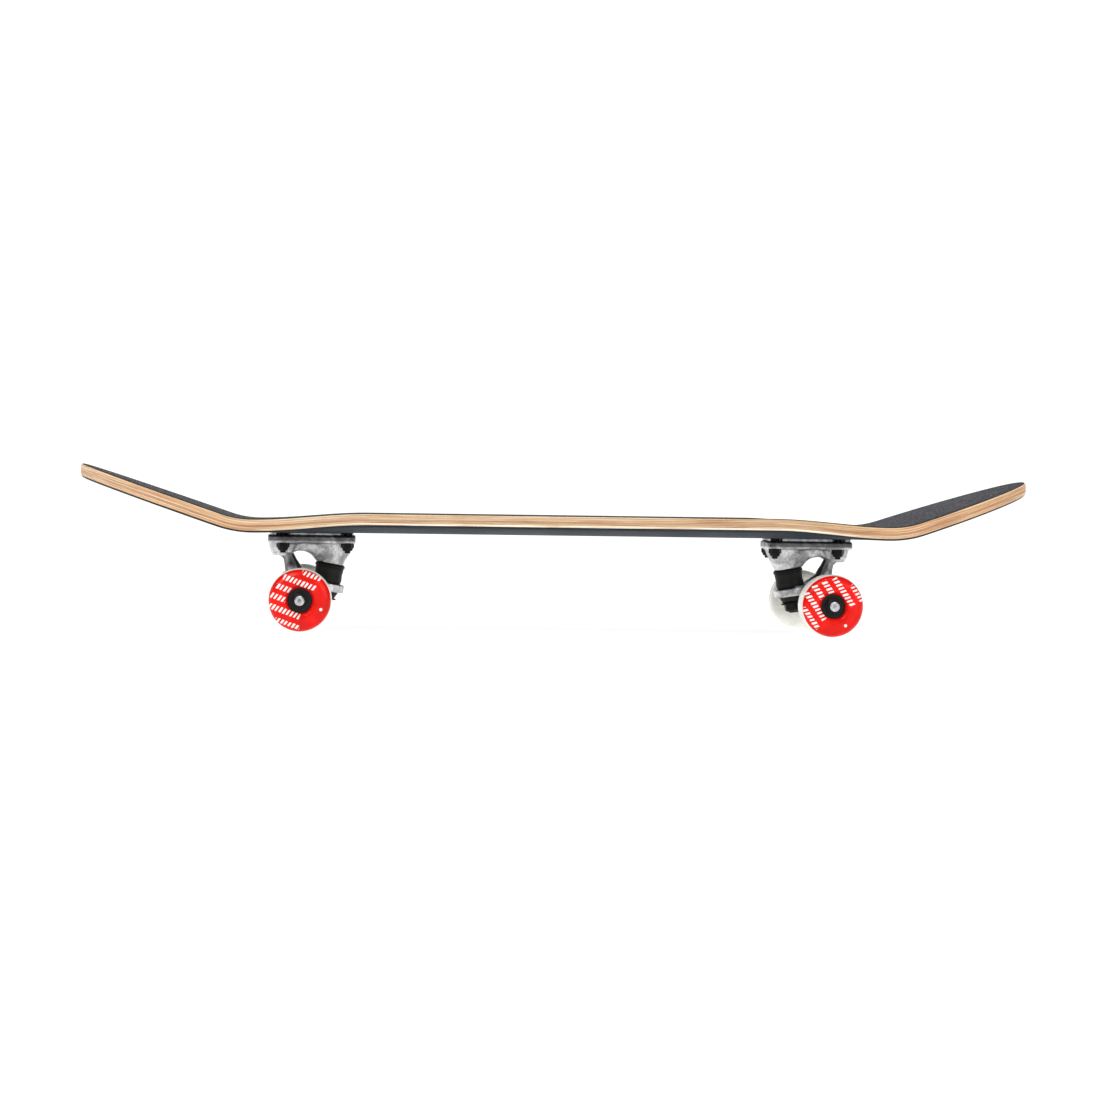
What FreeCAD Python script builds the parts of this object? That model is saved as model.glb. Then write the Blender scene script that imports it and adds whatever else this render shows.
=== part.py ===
"""Skateboard: a seven-ply popsicle deck on two cast trucks and four wheels with ball bearings.

Frame: +X from nose to tail, +Z up. The origin is on the ground under the middle of the board.
Units: millimetres. Each truck is built in its own frame, where x is the distance inboard of the axle.
"""
import FreeCAD
import Part
import math
import os

V = FreeCAD.Vector
os.makedirs("parts", exist_ok=True)

# --- deck -------------------------------------------------------------------------------------
NOSE_TIP_X = -402.0
TAIL_TIP_X = 402.0
DECK_HALF_WIDTH = 100.0
SIDE_ARC_R = 130.0          # planform arc from the straight side to the rounded end
TIP_ARC_R = 80.0            # planform arc round the nose and the tail
PLY_COUNT = 7
PLY_T = 1.5
GRIP_T = 0.9
BELLY_Z = 80.7              # underside of the deck's flat middle
NOSE_BEND_X = -255.0        # where the flat middle ends
TAIL_BEND_X = 268.0
BEND_R = 80.0               # radius of the kick bends at the top of the plies
NOSE_KICK_DEG = 18.5
TAIL_KICK_DEG = 18.5
CONCAVE_RISE = 6.0          # how far the rails stand above the flat middle
FLAT_HALF_WIDTH = 30.0
CONCAVE_FADE = 95.0         # length over which the rails come down to the kick bends
ROUND_OVER_R = 3.2          # the deck's rounded edge, as steps from ply to ply
LAYER_OVERSIZE = 6.0        # how far a layer's blank reaches past the sides before it is trimmed
KICK_BLANK_L = 170.0        # length of a kick's blank past its bend
RAIL_GRID = (53, 7)         # points of the rails' surface along and across the board

# --- truck places -----------------------------------------------------------------------------
WHEELBASE_MID_X = 3.0
AXLE_HALF_BASE = 219.0      # half the distance between the axles
AXLE_Z = 26.0
HOLE_PITCH_X = 53.975
HOLE_PITCH_Y = 41.275
HOLE_MID = 11.1             # middle of the bolt pattern, inboard of the axle

# --- hardware ---------------------------------------------------------------------------------
BOLT_R = 2.4
BOLT_HOLE_R = 2.6
BOLT_HEAD_R = 4.5
BOLT_HEAD_H = 2.6
BOLT_LENGTH = 28.5
BOLT_HEAD_SINK = 0.15
BOLT_HEAD_FIT = 0.15
BOLT_RECESS_ARM = 2.4       # half length and half width of the head's cross recess, and its depth
BOLT_RECESS_HALF_W = 0.55
BOLT_RECESS_DEPTH = 1.6
NUT_FLATS = 9.5
NUT_H = 4.2
NUT_COLLAR_H = 2.2

# --- baseplate --------------------------------------------------------------------------------
PLATE_IN = 44.5             # ends of the flange, inboard and outboard of the axle
PLATE_OUT = -28.5
PLATE_HALF_W = 28.0
PLATE_CORNER_R = 9.0
RIM_H = 6.4                 # the flange's lower layer
CAP_H = 2.6                 # the flange's inset upper layer, against the deck
CAP_INSET = 1.6
FLANGE_ROUND_R = 1.6
SECTION_POINTS = 24         # points of each lofted section
HOUSING_POWER = 0.75        # under 1 for a squarer section
# level sections of the two housings, each as middle x, z, half length and half width
PIVOT_HOUSING = [(-14.6, 77.1, 13.9, 15.5), (-15.0, 70.0, 12.6, 13.5), (-15.8, 60.8, 8.3, 10.2)]
KINGPIN_HOUSING = [(27.5, 77.1, 16.0, 19.0), (26.6, 70.0, 14.3, 16.0), (24.6, 60.0, 12.0, 12.6),
                   (22.6, 48.0, 10.9, 11.6)]
WEB_PROFILE = [(-20, 73), (-12, 63.5), (-8.5, 64.8), (14, 64.8), (22, 60), (30, 60), (38, 73)]
WEB_HALF_W = 7.0
WEB_ROUND_R = 2.0
NUT_SPOT_R = 6.46           # spot faces round the nuts
CAP_NOTCH_R = 5.6           # notches beside the bolts in the upper layer
CAP_NOTCH_OUT = 4.6

# --- steering geometry ------------------------------------------------------------------------
KINGPIN_TILT_DEG = 10.0
SEAT = V(23.8, 0, 54.6)     # middle of the bushing seat under the baseplate
RING_MID = 19.9             # distances down the kingpin from the seat
RING_T = 6.8
PIVOT = V(-17.0, 0, 66.0)   # middle of the hanger's pivot nose in its cup
KINGPIN_R = 4.75
PIVOT_NOSE_R = 5.2
PIVOT_CUP_R = 7.6
PIVOT_FIT = 0.06
PIVOT_CUP_DEEP = 6.5        # ends of the cup along the steering axis, past the middle and before it
PIVOT_CUP_LIP = 6.0
KINGPIN_FIT = 0.15
KING_HEAD_FLATS = 14.2
KING_HEAD_START = 17.1      # underside of the kingpin's head, above the seat
KING_HEAD_H = 6.5

# --- bushings and washers ---------------------------------------------------------------------
TOP_WASHER_T = 1.6
TOP_WASHER_R = 13.3
TOP_WASHER_LIP = 3.4        # depth of the lip round the bushing
BUSHING_BORE_R = 4.95
TOP_BUSHING_R = 11.8
LOW_BUSHING_R = 10.7
LOW_BUSHING_END_R = 8.8
RING_SEAT_DEPTH = 1.4
BUSHING_GAP = 0.08          # left between a bushing and its seat in the ring
LOW_CLEARANCE_R = 12.8      # room under the ring for the lower washer when the hanger steers
LOW_BUSHING_END = 28.9
LOW_WASHER_T = 1.3
LOW_WASHER_R = 10.0
KING_NUT_H = 6.3
KING_NUT_FLATS = 14.2
RING_R = 15.0
RING_BORE_R = 7.6
RING_WEB_HALF_W = 13.5
PIVOT_NOSE_START = 4.2      # how far the hanger's nose reaches past the pivot's middle
PIVOT_NOSE_L = 13.0
NECK_FOOT = V(-1.0, 0, 41.0)
NECK_SECTIONS = [(0.0, 5.3), (0.45, 6.4), (1.0, 8.6)]       # share of the way down, radius
RIB_PROFILE = [(-9, 36), (-8.5, 48), (2, 46), (12, 41), (22, 36), (12, 33)]
RIB_HALF_W = 3.2

# --- axle, wheels and bearings ----------------------------------------------------------------
AXLE_R = 3.97
AXLE_HALF_L = 101.5
HANGER_FACE = 66.5
# sections of the hanger's arm, each as y, middle x, middle z, half length and half height
ARM_SECTIONS = [(-1.0, 1.2, 31.5, 12.6, 14.2), (14.0, 1.0, 31.0, 12.4, 13.4), (32.0, 0.4, 28.4, 10.4, 10.6),
                (50.0, 0.0, 26.4, 8.4, 8.4), (HANGER_FACE, 0.0, AXLE_Z, 7.0, 7.0)]
WASHER_T = 0.9
BEARING_W = 7.0
BEARING_OUT_R = 11.0
BEARING_BORE_R = 4.0
SPACER_L = 10.0
BALL_R = 1.985
BALL_PITCH_R = 7.5
BALL_COUNT = 7
BALL_FIT = 0.02
CAGE_HALF_W = 2.45
CAGE_HALF_T = 0.5           # half the cage's thickness, either side of the balls' circle
CAGE_POCKET_FIT = 0.08
SHIELD_T = 0.35
SHIELD_INSET = 0.25
OUTER_SHOULDER_R = 9.3
INNER_SHOULDER_R = 6.1
AXLE_NUT_FLATS = 12.7
AXLE_NUT_H = 6.0
WHEEL_R = 26.0
WHEEL_W = 31.0
TREAD_W = 19.0
WHEEL_RECESS_R = 13.0
CORE_LIP_R = 7.6            # bore of the lip between a wheel's two bearings
SPACER_R = 5.2
SPEED_WASHER_R = 5.9

DECK_T = PLY_COUNT * PLY_T
TOP_Z = BELLY_Z + DECK_T + GRIP_T
FLANGE_TOP_Z = BELLY_Z - CAP_H
FLANGE_LOW_Z = FLANGE_TOP_Z - RIM_H
BEARING_IN_Y = HANGER_FACE + WASHER_T
BEARING_OUT_Y = BEARING_IN_Y + 2 * BEARING_W + SPACER_L
WHEEL_MID_Y = (BEARING_IN_Y + BEARING_OUT_Y) / 2
KING_DIR = V(-math.sin(math.radians(KINGPIN_TILT_DEG)), 0, -math.cos(math.radians(KINGPIN_TILT_DEG)))
RING_CENTRE = SEAT + KING_DIR * RING_MID
STEER_DIR = (PIVOT - RING_CENTRE).normalize()
Y_AXIS, Z_AXIS = V(0, 1, 0), V(0, 0, 1)


# --- small helpers ----------------------------------------------------------------------------
def save(name, shape):
    """Write one node and say what is in it."""
    shape.exportStep("parts/%s.step" % name)
    print("%-24s solids %2d valid %s volume %.0f" % (name, len(shape.Solids), shape.isValid(), shape.Volume))


def box(low, high):
    return Part.makeBox(high[0] - low[0], high[1] - low[1], high[2] - low[2], V(*low))


def rod(radius, start, direction, length):
    return Part.makeCylinder(radius, length, start, direction)


def hexagon(flats, start, direction, length, turn=0.0):
    """A hexagonal prism from start along direction."""
    corner = flats / math.sqrt(3)
    angles = [math.radians(60 * i + turn) for i in range(7)]
    points = [V(corner * math.cos(angle), corner * math.sin(angle), 0) for angle in angles]
    prism = Part.Face(Part.makePolygon(points)).extrude(V(0, 0, length))
    prism.Placement = FreeCAD.Placement(start, FreeCAD.Rotation(Z_AXIS, direction))
    return prism


def turned(points, start, direction):
    """Revolve (radius, height) points about the line from start along direction."""
    wire = Part.makePolygon([V(r, 0, h) for r, h in points + points[:1]])
    solid = Part.Face(wire).revolve(V(0, 0, 0), Z_AXIS, 360)
    solid.Placement = FreeCAD.Placement(start, FreeCAD.Rotation(Z_AXIS, direction))
    return solid


def fuse(shapes):
    return shapes[0].multiFuse(shapes[1:]).removeSplitter()


def round_edges(solid, radius, chosen):
    """Fillet the edges that chosen picks."""
    return solid.makeFillet(radius, [edge for edge in solid.Edges if chosen(edge)])


def on_board(shape, end):
    """Put a shape from the truck's frame on the board: end is -1 at the nose and +1 at the tail."""
    placed = shape.copy()
    if end > 0:
        placed.rotate(V(0, 0, 0), Z_AXIS, 180)
    placed.translate(V(WHEELBASE_MID_X + end * AXLE_HALF_BASE, 0, 0))
    return placed


# --- deck -------------------------------------------------------------------------------------
def outline(inset):
    """The deck's planform face at z = 0: straight sides, side arcs and tip arcs, moved in by inset."""
    half, side_r, tip_r = DECK_HALF_WIDTH - inset, SIDE_ARC_R - inset, TIP_ARC_R - inset
    between = math.sqrt((SIDE_ARC_R - TIP_ARC_R) ** 2 - (SIDE_ARC_R - DECK_HALF_WIDTH) ** 2)
    meet = math.atan2(SIDE_ARC_R - DECK_HALF_WIDTH, between)
    edges = []
    ends = []
    for end, tip_x in ((-1, NOSE_TIP_X), (1, TAIL_TIP_X)):
        tip_centre = tip_x - end * TIP_ARC_R
        side_centre = tip_centre - end * between
        ends.append(side_centre)
        joins = []
        for side in (-1, 1):
            straight_end = V(side_centre, side * half, 0)
            bulge = meet + (math.pi / 2 - meet) / 2
            arc_y = -side * (SIDE_ARC_R - DECK_HALF_WIDTH)
            bulge_y = side * side_r * math.sin(bulge)
            middle = V(side_centre + end * side_r * math.cos(bulge), arc_y + bulge_y, 0)
            join = V(tip_centre + end * tip_r * math.cos(meet), side * tip_r * math.sin(meet), 0)
            edges.append(Part.Arc(straight_end, middle, join).toShape())
            joins.append(join)
        edges.append(Part.Arc(joins[0], V(tip_x - end * inset, 0, 0), joins[1]).toShape())
    for side in (-1, 1):
        edges.append(Part.makeLine(V(ends[0], side * half, 0), V(ends[1], side * half, 0)))
    return Part.Face(Part.Wire(Part.__sortEdges__(edges)))


def kick_slab(end, bottom, top):
    """The bent end of one layer, as an extruded profile: an arc, then a straight kick."""
    bend_x = NOSE_BEND_X if end < 0 else TAIL_BEND_X
    angle = math.radians(NOSE_KICK_DEG if end < 0 else TAIL_KICK_DEG)
    centre_z = BELLY_Z + DECK_T + BEND_R

    def on_arc(z, turn):
        radius = centre_z - z
        return V(bend_x + end * radius * math.sin(turn), -DECK_HALF_WIDTH - LAYER_OVERSIZE,
                 centre_z - radius * math.cos(turn))

    def straight_end(z):
        return on_arc(z, angle) + V(end * math.cos(angle), 0, math.sin(angle)) * KICK_BLANK_L

    wire = Part.Wire([
        Part.Arc(on_arc(bottom, 0), on_arc(bottom, angle / 2), on_arc(bottom, angle)).toShape(),
        Part.makeLine(on_arc(bottom, angle), straight_end(bottom)),
        Part.makeLine(straight_end(bottom), straight_end(top)),
        Part.makeLine(straight_end(top), on_arc(top, angle)),
        Part.Arc(on_arc(top, angle), on_arc(top, angle / 2), on_arc(top, 0)).toShape(),
        Part.makeLine(on_arc(top, 0), on_arc(bottom, 0))])
    return Part.Face(wire).extrude(V(0, 2 * (DECK_HALF_WIDTH + LAYER_OVERSIZE), 0))


def concave(x, y):
    """How far the deck's middle section rises at a point."""
    along = min((x - NOSE_BEND_X) / CONCAVE_FADE, (TAIL_BEND_X - x) / CONCAVE_FADE, 1.0)
    along = max(along, 0.0)
    across = max(abs(y) - FLAT_HALF_WIDTH, 0.0) / (DECK_HALF_WIDTH - FLAT_HALF_WIDTH)
    return CONCAVE_RISE * along * along * (3 - 2 * along) * across * across


def rail_slab(side, bottom, top):
    """One raised side of a layer: a smooth surface through a grid of points, given a thickness."""
    x_count, y_count = RAIL_GRID
    width = DECK_HALF_WIDTH + LAYER_OVERSIZE - FLAT_HALF_WIDTH
    rows = []
    for i in range(x_count):
        x = NOSE_BEND_X + (TAIL_BEND_X - NOSE_BEND_X) * i / (x_count - 1)
        row = []
        for j in range(y_count):
            y = FLAT_HALF_WIDTH + width * j / (y_count - 1)
            row.append(V(x, side * y, bottom + concave(x, side * y)))
        rows.append(row)
    surface = Part.BSplineSurface()
    surface.interpolate(rows)
    return surface.toShape().extrude(V(0, 0, top - bottom))


def deck_layer(bottom, top, inset):
    """One layer of the deck between two heights above the flat middle."""
    flat = box((NOSE_BEND_X, -FLAT_HALF_WIDTH, bottom), (TAIL_BEND_X, FLAT_HALF_WIDTH, top))
    whole = flat.multiFuse([rail_slab(-1, bottom, top), rail_slab(1, bottom, top),
                            kick_slab(-1, bottom, top), kick_slab(1, bottom, top)])
    planform = outline(inset)
    planform.translate(V(0, 0, BELLY_Z - 20))
    layer = whole.common(planform.extrude(V(0, 0, 140)))
    return layer.cut(Part.makeCompound(bolt_holes()))


def hole_places(end):
    """The four bolt places of one truck on the board."""
    truck_x = WHEELBASE_MID_X + end * (AXLE_HALF_BASE - HOLE_MID)
    return [(truck_x + sx * HOLE_PITCH_X / 2, sy * HOLE_PITCH_Y / 2) for sx in (-1, 1) for sy in (-1, 1)]


def bolt_holes():
    """Drilled and countersunk holes through the deck for both trucks."""
    tools = []
    for x, y in hole_places(-1) + hole_places(1):
        tools.append(rod(BOLT_HOLE_R, V(x, y, BELLY_Z - 1), Z_AXIS, DECK_T + GRIP_T + 2))
        sink_low = V(x, y, TOP_Z - BOLT_HEAD_H)
        tools.append(Part.makeCone(BOLT_HOLE_R, BOLT_HEAD_R + BOLT_HEAD_FIT, BOLT_HEAD_H, sink_low, Z_AXIS))
    return tools


def round_over(height):
    """How far the rounded edge has come in at a height in the deck's thickness."""
    from_face = min(height, DECK_T + GRIP_T - height)
    if from_face >= ROUND_OVER_R:
        return 0.0
    return ROUND_OVER_R - math.sqrt(ROUND_OVER_R ** 2 - (ROUND_OVER_R - from_face) ** 2)


def make_deck():
    for number in range(1, PLY_COUNT + 1):
        low = (number - 1) * PLY_T
        layer = deck_layer(BELLY_Z + low, BELLY_Z + low + PLY_T, round_over(low + PLY_T / 2))
        save("ply_%d" % number, layer)
    save("grip_tape", deck_layer(BELLY_Z + DECK_T, TOP_Z, round_over(DECK_T + GRIP_T / 2)))


# --- mounting hardware ------------------------------------------------------------------------
def mounting_bolt(x, y):
    """A countersunk bolt with a cross recess, hanging from its head."""
    top = TOP_Z - BOLT_HEAD_SINK
    head = Part.makeCone(BOLT_R, BOLT_HEAD_R, BOLT_HEAD_H, V(x, y, top - BOLT_HEAD_H), Z_AXIS)
    shank = rod(BOLT_R, V(x, y, top - BOLT_LENGTH), Z_AXIS, BOLT_LENGTH - BOLT_HEAD_H)
    bolt = head.fuse(shank)
    arm, width, low = BOLT_RECESS_ARM, BOLT_RECESS_HALF_W, top - BOLT_RECESS_DEPTH
    for half_x, half_y in ((arm, width), (width, arm)):
        bolt = bolt.cut(box((x - half_x, y - half_y, low), (x + half_x, y + half_y, top + 1)))
    return bolt


def lock_nut(x, y, top):
    """A lock nut under the flange: a hexagon with a rounded collar below it."""
    body = hexagon(NUT_FLATS, V(x, y, top), V(0, 0, -1), NUT_H)
    bevel = turned([(0, 0), (NUT_FLATS * 0.58, 0), (NUT_FLATS * 0.58, NUT_H - 1.0),
                    (NUT_FLATS * 0.49, NUT_H), (0, NUT_H)], V(x, y, top), V(0, 0, -1))
    collar = turned([(0, NUT_H), (NUT_FLATS * 0.47, NUT_H), (NUT_FLATS * 0.45, NUT_H + 1.2),
                     (NUT_FLATS * 0.34, NUT_H + NUT_COLLAR_H), (0, NUT_H + NUT_COLLAR_H)],
                    V(x, y, top), V(0, 0, -1))
    return body.common(bevel).fuse(collar).cut(rod(BOLT_R, V(x, y, top + 1), V(0, 0, -1), 12))


def make_hardware(end, word):
    bolts = [mounting_bolt(x, y) for x, y in hole_places(end)]
    nuts = [lock_nut(x, y, FLANGE_LOW_Z) for x, y in hole_places(end)]
    save("mounting_bolts_" + word, Part.makeCompound(bolts))
    save("mounting_nuts_" + word, Part.makeCompound(nuts))


# --- baseplate --------------------------------------------------------------------------------
def rounded_plate(inset, low, high):
    """A flange layer with rounded corners between two heights."""
    x0, x1, w, r = PLATE_OUT + inset, PLATE_IN - inset, PLATE_HALF_W - inset, PLATE_CORNER_R - inset
    plate = box((x0, -w, low), (x1, w, high))
    corners = [e for e in plate.Edges if abs(e.Vertexes[0].Z - e.Vertexes[-1].Z) > 0.5 * (high - low)]
    return plate.makeFillet(r, corners)


def prism_y(points, half_width):
    """A prism across the truck from a side profile of (x, z) points."""
    wire = Part.makePolygon([V(x, -half_width, z) for x, z in points + points[:1]])
    return Part.Face(wire).extrude(V(0, 2 * half_width, 0))


def smooth_section(centre, across, up, power=1.0):
    """A closed smooth section about a centre: an ellipse, or squarer where power is under 1."""
    points = []
    for i in range(SECTION_POINTS):
        c = math.cos(2 * math.pi * i / SECTION_POINTS)
        s = math.sin(2 * math.pi * i / SECTION_POINTS)
        along = across * math.copysign(abs(c) ** power, c)
        points.append(centre + along + up * math.copysign(abs(s) ** power, s))
    curve = Part.BSplineCurve()
    curve.interpolate(points, PeriodicFlag=True)
    return Part.Wire(curve.toShape())


def level_section(centre_x, z, half_x, half_y):
    """A squarish section in a level plane, for the baseplate's housings."""
    return smooth_section(V(centre_x, 0, z), V(half_x, 0, 0), V(0, half_y, 0), HOUSING_POWER)


def baseplate():
    """Flange, pivot housing, arched web and kingpin body in one casting."""
    rim = rounded_plate(0.0, FLANGE_LOW_Z, FLANGE_TOP_Z)
    rim = round_edges(rim, FLANGE_ROUND_R, lambda e: abs(e.BoundBox.ZMax - FLANGE_LOW_Z) < 0.01)
    cap = rounded_plate(CAP_INSET, FLANGE_TOP_Z - 0.5, BELLY_Z)
    housing = Part.makeLoft([level_section(*section) for section in PIVOT_HOUSING], True)
    web = prism_y(WEB_PROFILE, WEB_HALF_W)
    web = round_edges(web, WEB_ROUND_R, lambda e: e.BoundBox.YLength < 0.01)
    body = Part.makeLoft([level_section(*section) for section in KINGPIN_HOUSING], True)
    below_seat = box((-40, -40, 0), (40, 40, 40))
    below_seat.Placement = FreeCAD.Placement(SEAT, FreeCAD.Rotation(Z_AXIS, KING_DIR))
    casting = fuse([rim, cap, housing, web, body.cut(below_seat)])
    casting = casting.cut(box((-60, -60, BELLY_Z), (80, 60, BELLY_Z + 40)))
    bores = [rod(KINGPIN_R + KINGPIN_FIT, SEAT + KING_DIR * 10, KING_DIR * -1, 60),
             hexagon(KING_HEAD_FLATS + 2 * KINGPIN_FIT, SEAT - KING_DIR * KING_HEAD_START, KING_DIR * -1, 30),
             rod(PIVOT_CUP_R, PIVOT + STEER_DIR * PIVOT_CUP_DEEP, STEER_DIR * -1, 30)]
    holes = []
    for sx in (-1, 1):
        for sy in (-1, 1):
            x, y = HOLE_MID + sx * HOLE_PITCH_X / 2, sy * HOLE_PITCH_Y / 2
            holes.append(rod(BOLT_HOLE_R, V(x, y, 60), Z_AXIS, 40))
            holes.append(rod(NUT_SPOT_R, V(x, y, FLANGE_LOW_Z - 12), Z_AXIS, 12))
            holes.append(rod(CAP_NOTCH_R, V(x, y + sy * CAP_NOTCH_OUT, FLANGE_TOP_Z), Z_AXIS, 10))
    return casting.cut(Part.makeCompound(bores)).cut(Part.makeCompound(holes))


def pivot_cup():
    """The plastic cup between the baseplate's bore and the hanger's pivot nose."""
    deep, lip, wall_r = PIVOT_CUP_DEEP, -PIVOT_CUP_LIP, PIVOT_NOSE_R + PIVOT_FIT
    return turned([(0, deep), (PIVOT_CUP_R, deep), (PIVOT_CUP_R, lip), (wall_r + 0.5, lip),
                   (wall_r, lip + 0.6), (wall_r, deep - 1.9), (3.0, deep - 1.1), (0, deep - 1.1)],
                  PIVOT, STEER_DIR)


# --- kingpin, bushings and washers --------------------------------------------------------------
def kingpin():
    """Hexagonal head in the baseplate, and a shank down through the bushings."""
    head = hexagon(KING_HEAD_FLATS, SEAT - KING_DIR * KING_HEAD_START, KING_DIR * -1, KING_HEAD_H)
    start, end = -KING_HEAD_START - 0.2, LOW_BUSHING_END + LOW_WASHER_T + KING_NUT_H + 1.2
    shank = turned([(0, start), (KINGPIN_R, start), (KINGPIN_R, end - 0.8), (KINGPIN_R - 0.8, end), (0, end)],
                   SEAT, KING_DIR)
    return head.fuse(shank).common(box((-60, -60, 0), (80, 60, BELLY_Z - 0.2)))


def kingpin_nut():
    start = LOW_BUSHING_END + LOW_WASHER_T
    body = hexagon(KING_NUT_FLATS, SEAT + KING_DIR * start, KING_DIR, KING_NUT_H, 30)
    bevel = turned([(0, 0), (KING_NUT_FLATS * 0.58, 0), (KING_NUT_FLATS * 0.58, KING_NUT_H - 1.6),
                    (KING_NUT_FLATS * 0.42, KING_NUT_H), (0, KING_NUT_H)], SEAT + KING_DIR * start, KING_DIR)
    return body.common(bevel).cut(rod(KINGPIN_R, SEAT + KING_DIR * (start - 1), KING_DIR, 12))


def washer_top():
    """A cupped washer against the seat; its lip holds the bushing's upper end."""
    r, t, lip = TOP_WASHER_R, TOP_WASHER_T, TOP_WASHER_LIP
    return turned([(BUSHING_BORE_R, 0), (r - 0.7, 0), (r, 0.9), (r, lip), (r - 0.9, lip), (r - 1.1, t),
                   (BUSHING_BORE_R, t)], SEAT, KING_DIR)


def washer_bottom():
    """The flat washer between the lower bushing and the nut."""
    r, s, end = LOW_WASHER_R, LOW_BUSHING_END, LOW_BUSHING_END + LOW_WASHER_T
    return turned([(BUSHING_BORE_R, s), (r - 0.4, s), (r, s + 0.4), (r, end), (BUSHING_BORE_R, end)],
                  SEAT, KING_DIR)


def bushing_top():
    """The barrel bushing between the baseplate and the hanger's ring."""
    start, end = TOP_WASHER_T, RING_MID - RING_T / 2 + RING_SEAT_DEPTH - BUSHING_GAP
    r = TOP_BUSHING_R
    return turned([(BUSHING_BORE_R, start), (r - 0.8, start), (r, start + 1.0), (r, end - 2.4),
                   (r - 0.9, end), (BUSHING_BORE_R, end)], SEAT, KING_DIR)


def bushing_bottom():
    """The conical bushing between the hanger's ring and the kingpin nut's washer."""
    start, end = RING_MID + RING_T / 2 - RING_SEAT_DEPTH + BUSHING_GAP, LOW_BUSHING_END
    r, end_r = LOW_BUSHING_R, LOW_BUSHING_END_R
    return turned([(BUSHING_BORE_R, start), (r, start), (r, start + 2.0), (end_r, end - 0.6),
                   (end_r - 0.6, end), (BUSHING_BORE_R, end)], SEAT, KING_DIR)


# --- hanger and axle --------------------------------------------------------------------------
def arm_section(y, centre_x, centre_z, half_x, half_z):
    """An upright elliptical section across the hanger's arm."""
    return smooth_section(V(centre_x, y, centre_z), V(half_x, 0, 0), V(0, 0, half_z))


def hanger():
    """Axle housing, bushing ring, web between them and the pivot nose."""
    half = Part.makeLoft([arm_section(*section) for section in ARM_SECTIONS], True)
    other = half.mirror(V(0, 0, 0), Y_AXIS)
    ring_start = RING_CENTRE - KING_DIR * (RING_T / 2)
    ring_end = ring_start + KING_DIR * RING_T
    ring = rod(RING_R, ring_start, KING_DIR, RING_T)
    web = box((-4, -RING_WEB_HALF_W, -RING_T / 2), (20, RING_WEB_HALF_W, RING_T / 2))
    tilt = FreeCAD.Rotation(Y_AXIS, KINGPIN_TILT_DEG)
    web.Placement = FreeCAD.Placement(V(0, 0, RING_CENTRE.z + 2.2), tilt)
    r, nose_l = PIVOT_NOSE_R, PIVOT_NOSE_L
    nose = turned([(0, 0), (r / 2, 0), (r - 0.9, 0.9), (r, 2.4), (r, nose_l), (0, nose_l)],
                  PIVOT + STEER_DIR * PIVOT_NOSE_START, STEER_DIR * -1)
    neck_top = PIVOT - STEER_DIR * (nose_l - PIVOT_NOSE_START - 0.4)
    sections = []
    for share, radius in NECK_SECTIONS:
        at = neck_top + (NECK_FOOT - neck_top) * share
        circle = Part.Circle(at, V(-0.45 - 0.3 * (1 - share), 0, 1.0), radius)
        sections.append(Part.Wire(circle.toShape()))
    neck = Part.makeLoft(sections, True)
    rib = prism_y(RIB_PROFILE, RIB_HALF_W)
    casting = fuse([half, other, ring, web, nose, neck, rib])
    seats = [rod(RING_BORE_R, RING_CENTRE - KING_DIR * 12, KING_DIR, 26),
             rod(TOP_BUSHING_R + 0.1, ring_start - KING_DIR * 16, KING_DIR, 16 + RING_SEAT_DEPTH),
             rod(LOW_BUSHING_R + 0.1, ring_end - KING_DIR * RING_SEAT_DEPTH, KING_DIR, 20),
             rod(LOW_CLEARANCE_R, ring_end, KING_DIR, 20)]
    axle_bore = rod(AXLE_R, V(0, -120, AXLE_Z), Y_AXIS, 240)
    return casting.cut(fuse(seats)).cut(axle_bore)


def axle():
    """A plain steel rod with chamfered ends, and a small centre hole in each end."""
    rod_shape = turned([(0, -AXLE_HALF_L), (AXLE_R - 0.9, -AXLE_HALF_L), (AXLE_R, -AXLE_HALF_L + 0.9),
                        (AXLE_R, AXLE_HALF_L - 0.9), (AXLE_R - 0.9, AXLE_HALF_L), (0, AXLE_HALF_L)],
                       V(0, 0, AXLE_Z), Y_AXIS)
    for side in (-1, 1):
        end = V(0, side * (AXLE_HALF_L + 0.01), AXLE_Z)
        rod_shape = rod_shape.cut(Part.makeCone(1.7, 0.3, 1.6, end, V(0, -side, 0)))
    return rod_shape


def ring_y(inner, outer, side, start, end):
    """A plain ring round the axle between two distances from the truck's middle."""
    at, along = V(0, side * start, AXLE_Z), V(0, side, 0)
    return rod(outer, at, along, end - start).cut(rod(inner, at, along, end - start))


def axle_nut(side):
    start = BEARING_OUT_Y + WASHER_T
    at, along = V(0, side * start, AXLE_Z), V(0, side, 0)
    body = hexagon(AXLE_NUT_FLATS, at, along, AXLE_NUT_H - 1.6)
    bevel = turned([(0, 0), (AXLE_NUT_FLATS * 0.58, 0), (AXLE_NUT_FLATS * 0.58, AXLE_NUT_H - 2.6),
                    (AXLE_NUT_FLATS * 0.49, AXLE_NUT_H - 1.6), (0, AXLE_NUT_H - 1.6)], at, along)
    collar = turned([(0, AXLE_NUT_H - 1.6), (AXLE_NUT_FLATS * 0.46, AXLE_NUT_H - 1.6),
                     (AXLE_NUT_FLATS * 0.44, AXLE_NUT_H - 0.5), (AXLE_NUT_FLATS * 0.38, AXLE_NUT_H),
                     (0, AXLE_NUT_H)], at, along)
    return body.common(bevel).fuse(collar).cut(rod(AXLE_R, at - along, along, 12))


# --- bearings and wheels ------------------------------------------------------------------------
def bearing_starts():
    """The inner face of each of a wheel's two bearings, as distances from the truck's middle."""
    return (BEARING_IN_Y, BEARING_IN_Y + BEARING_W + SPACER_L)


def groove(side, start):
    """The ring of space that the balls run in."""
    middle = V(0, side * (start + BEARING_W / 2), AXLE_Z)
    return Part.makeTorus(BALL_PITCH_R, BALL_R + BALL_FIT, middle, Y_AXIS)


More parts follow.
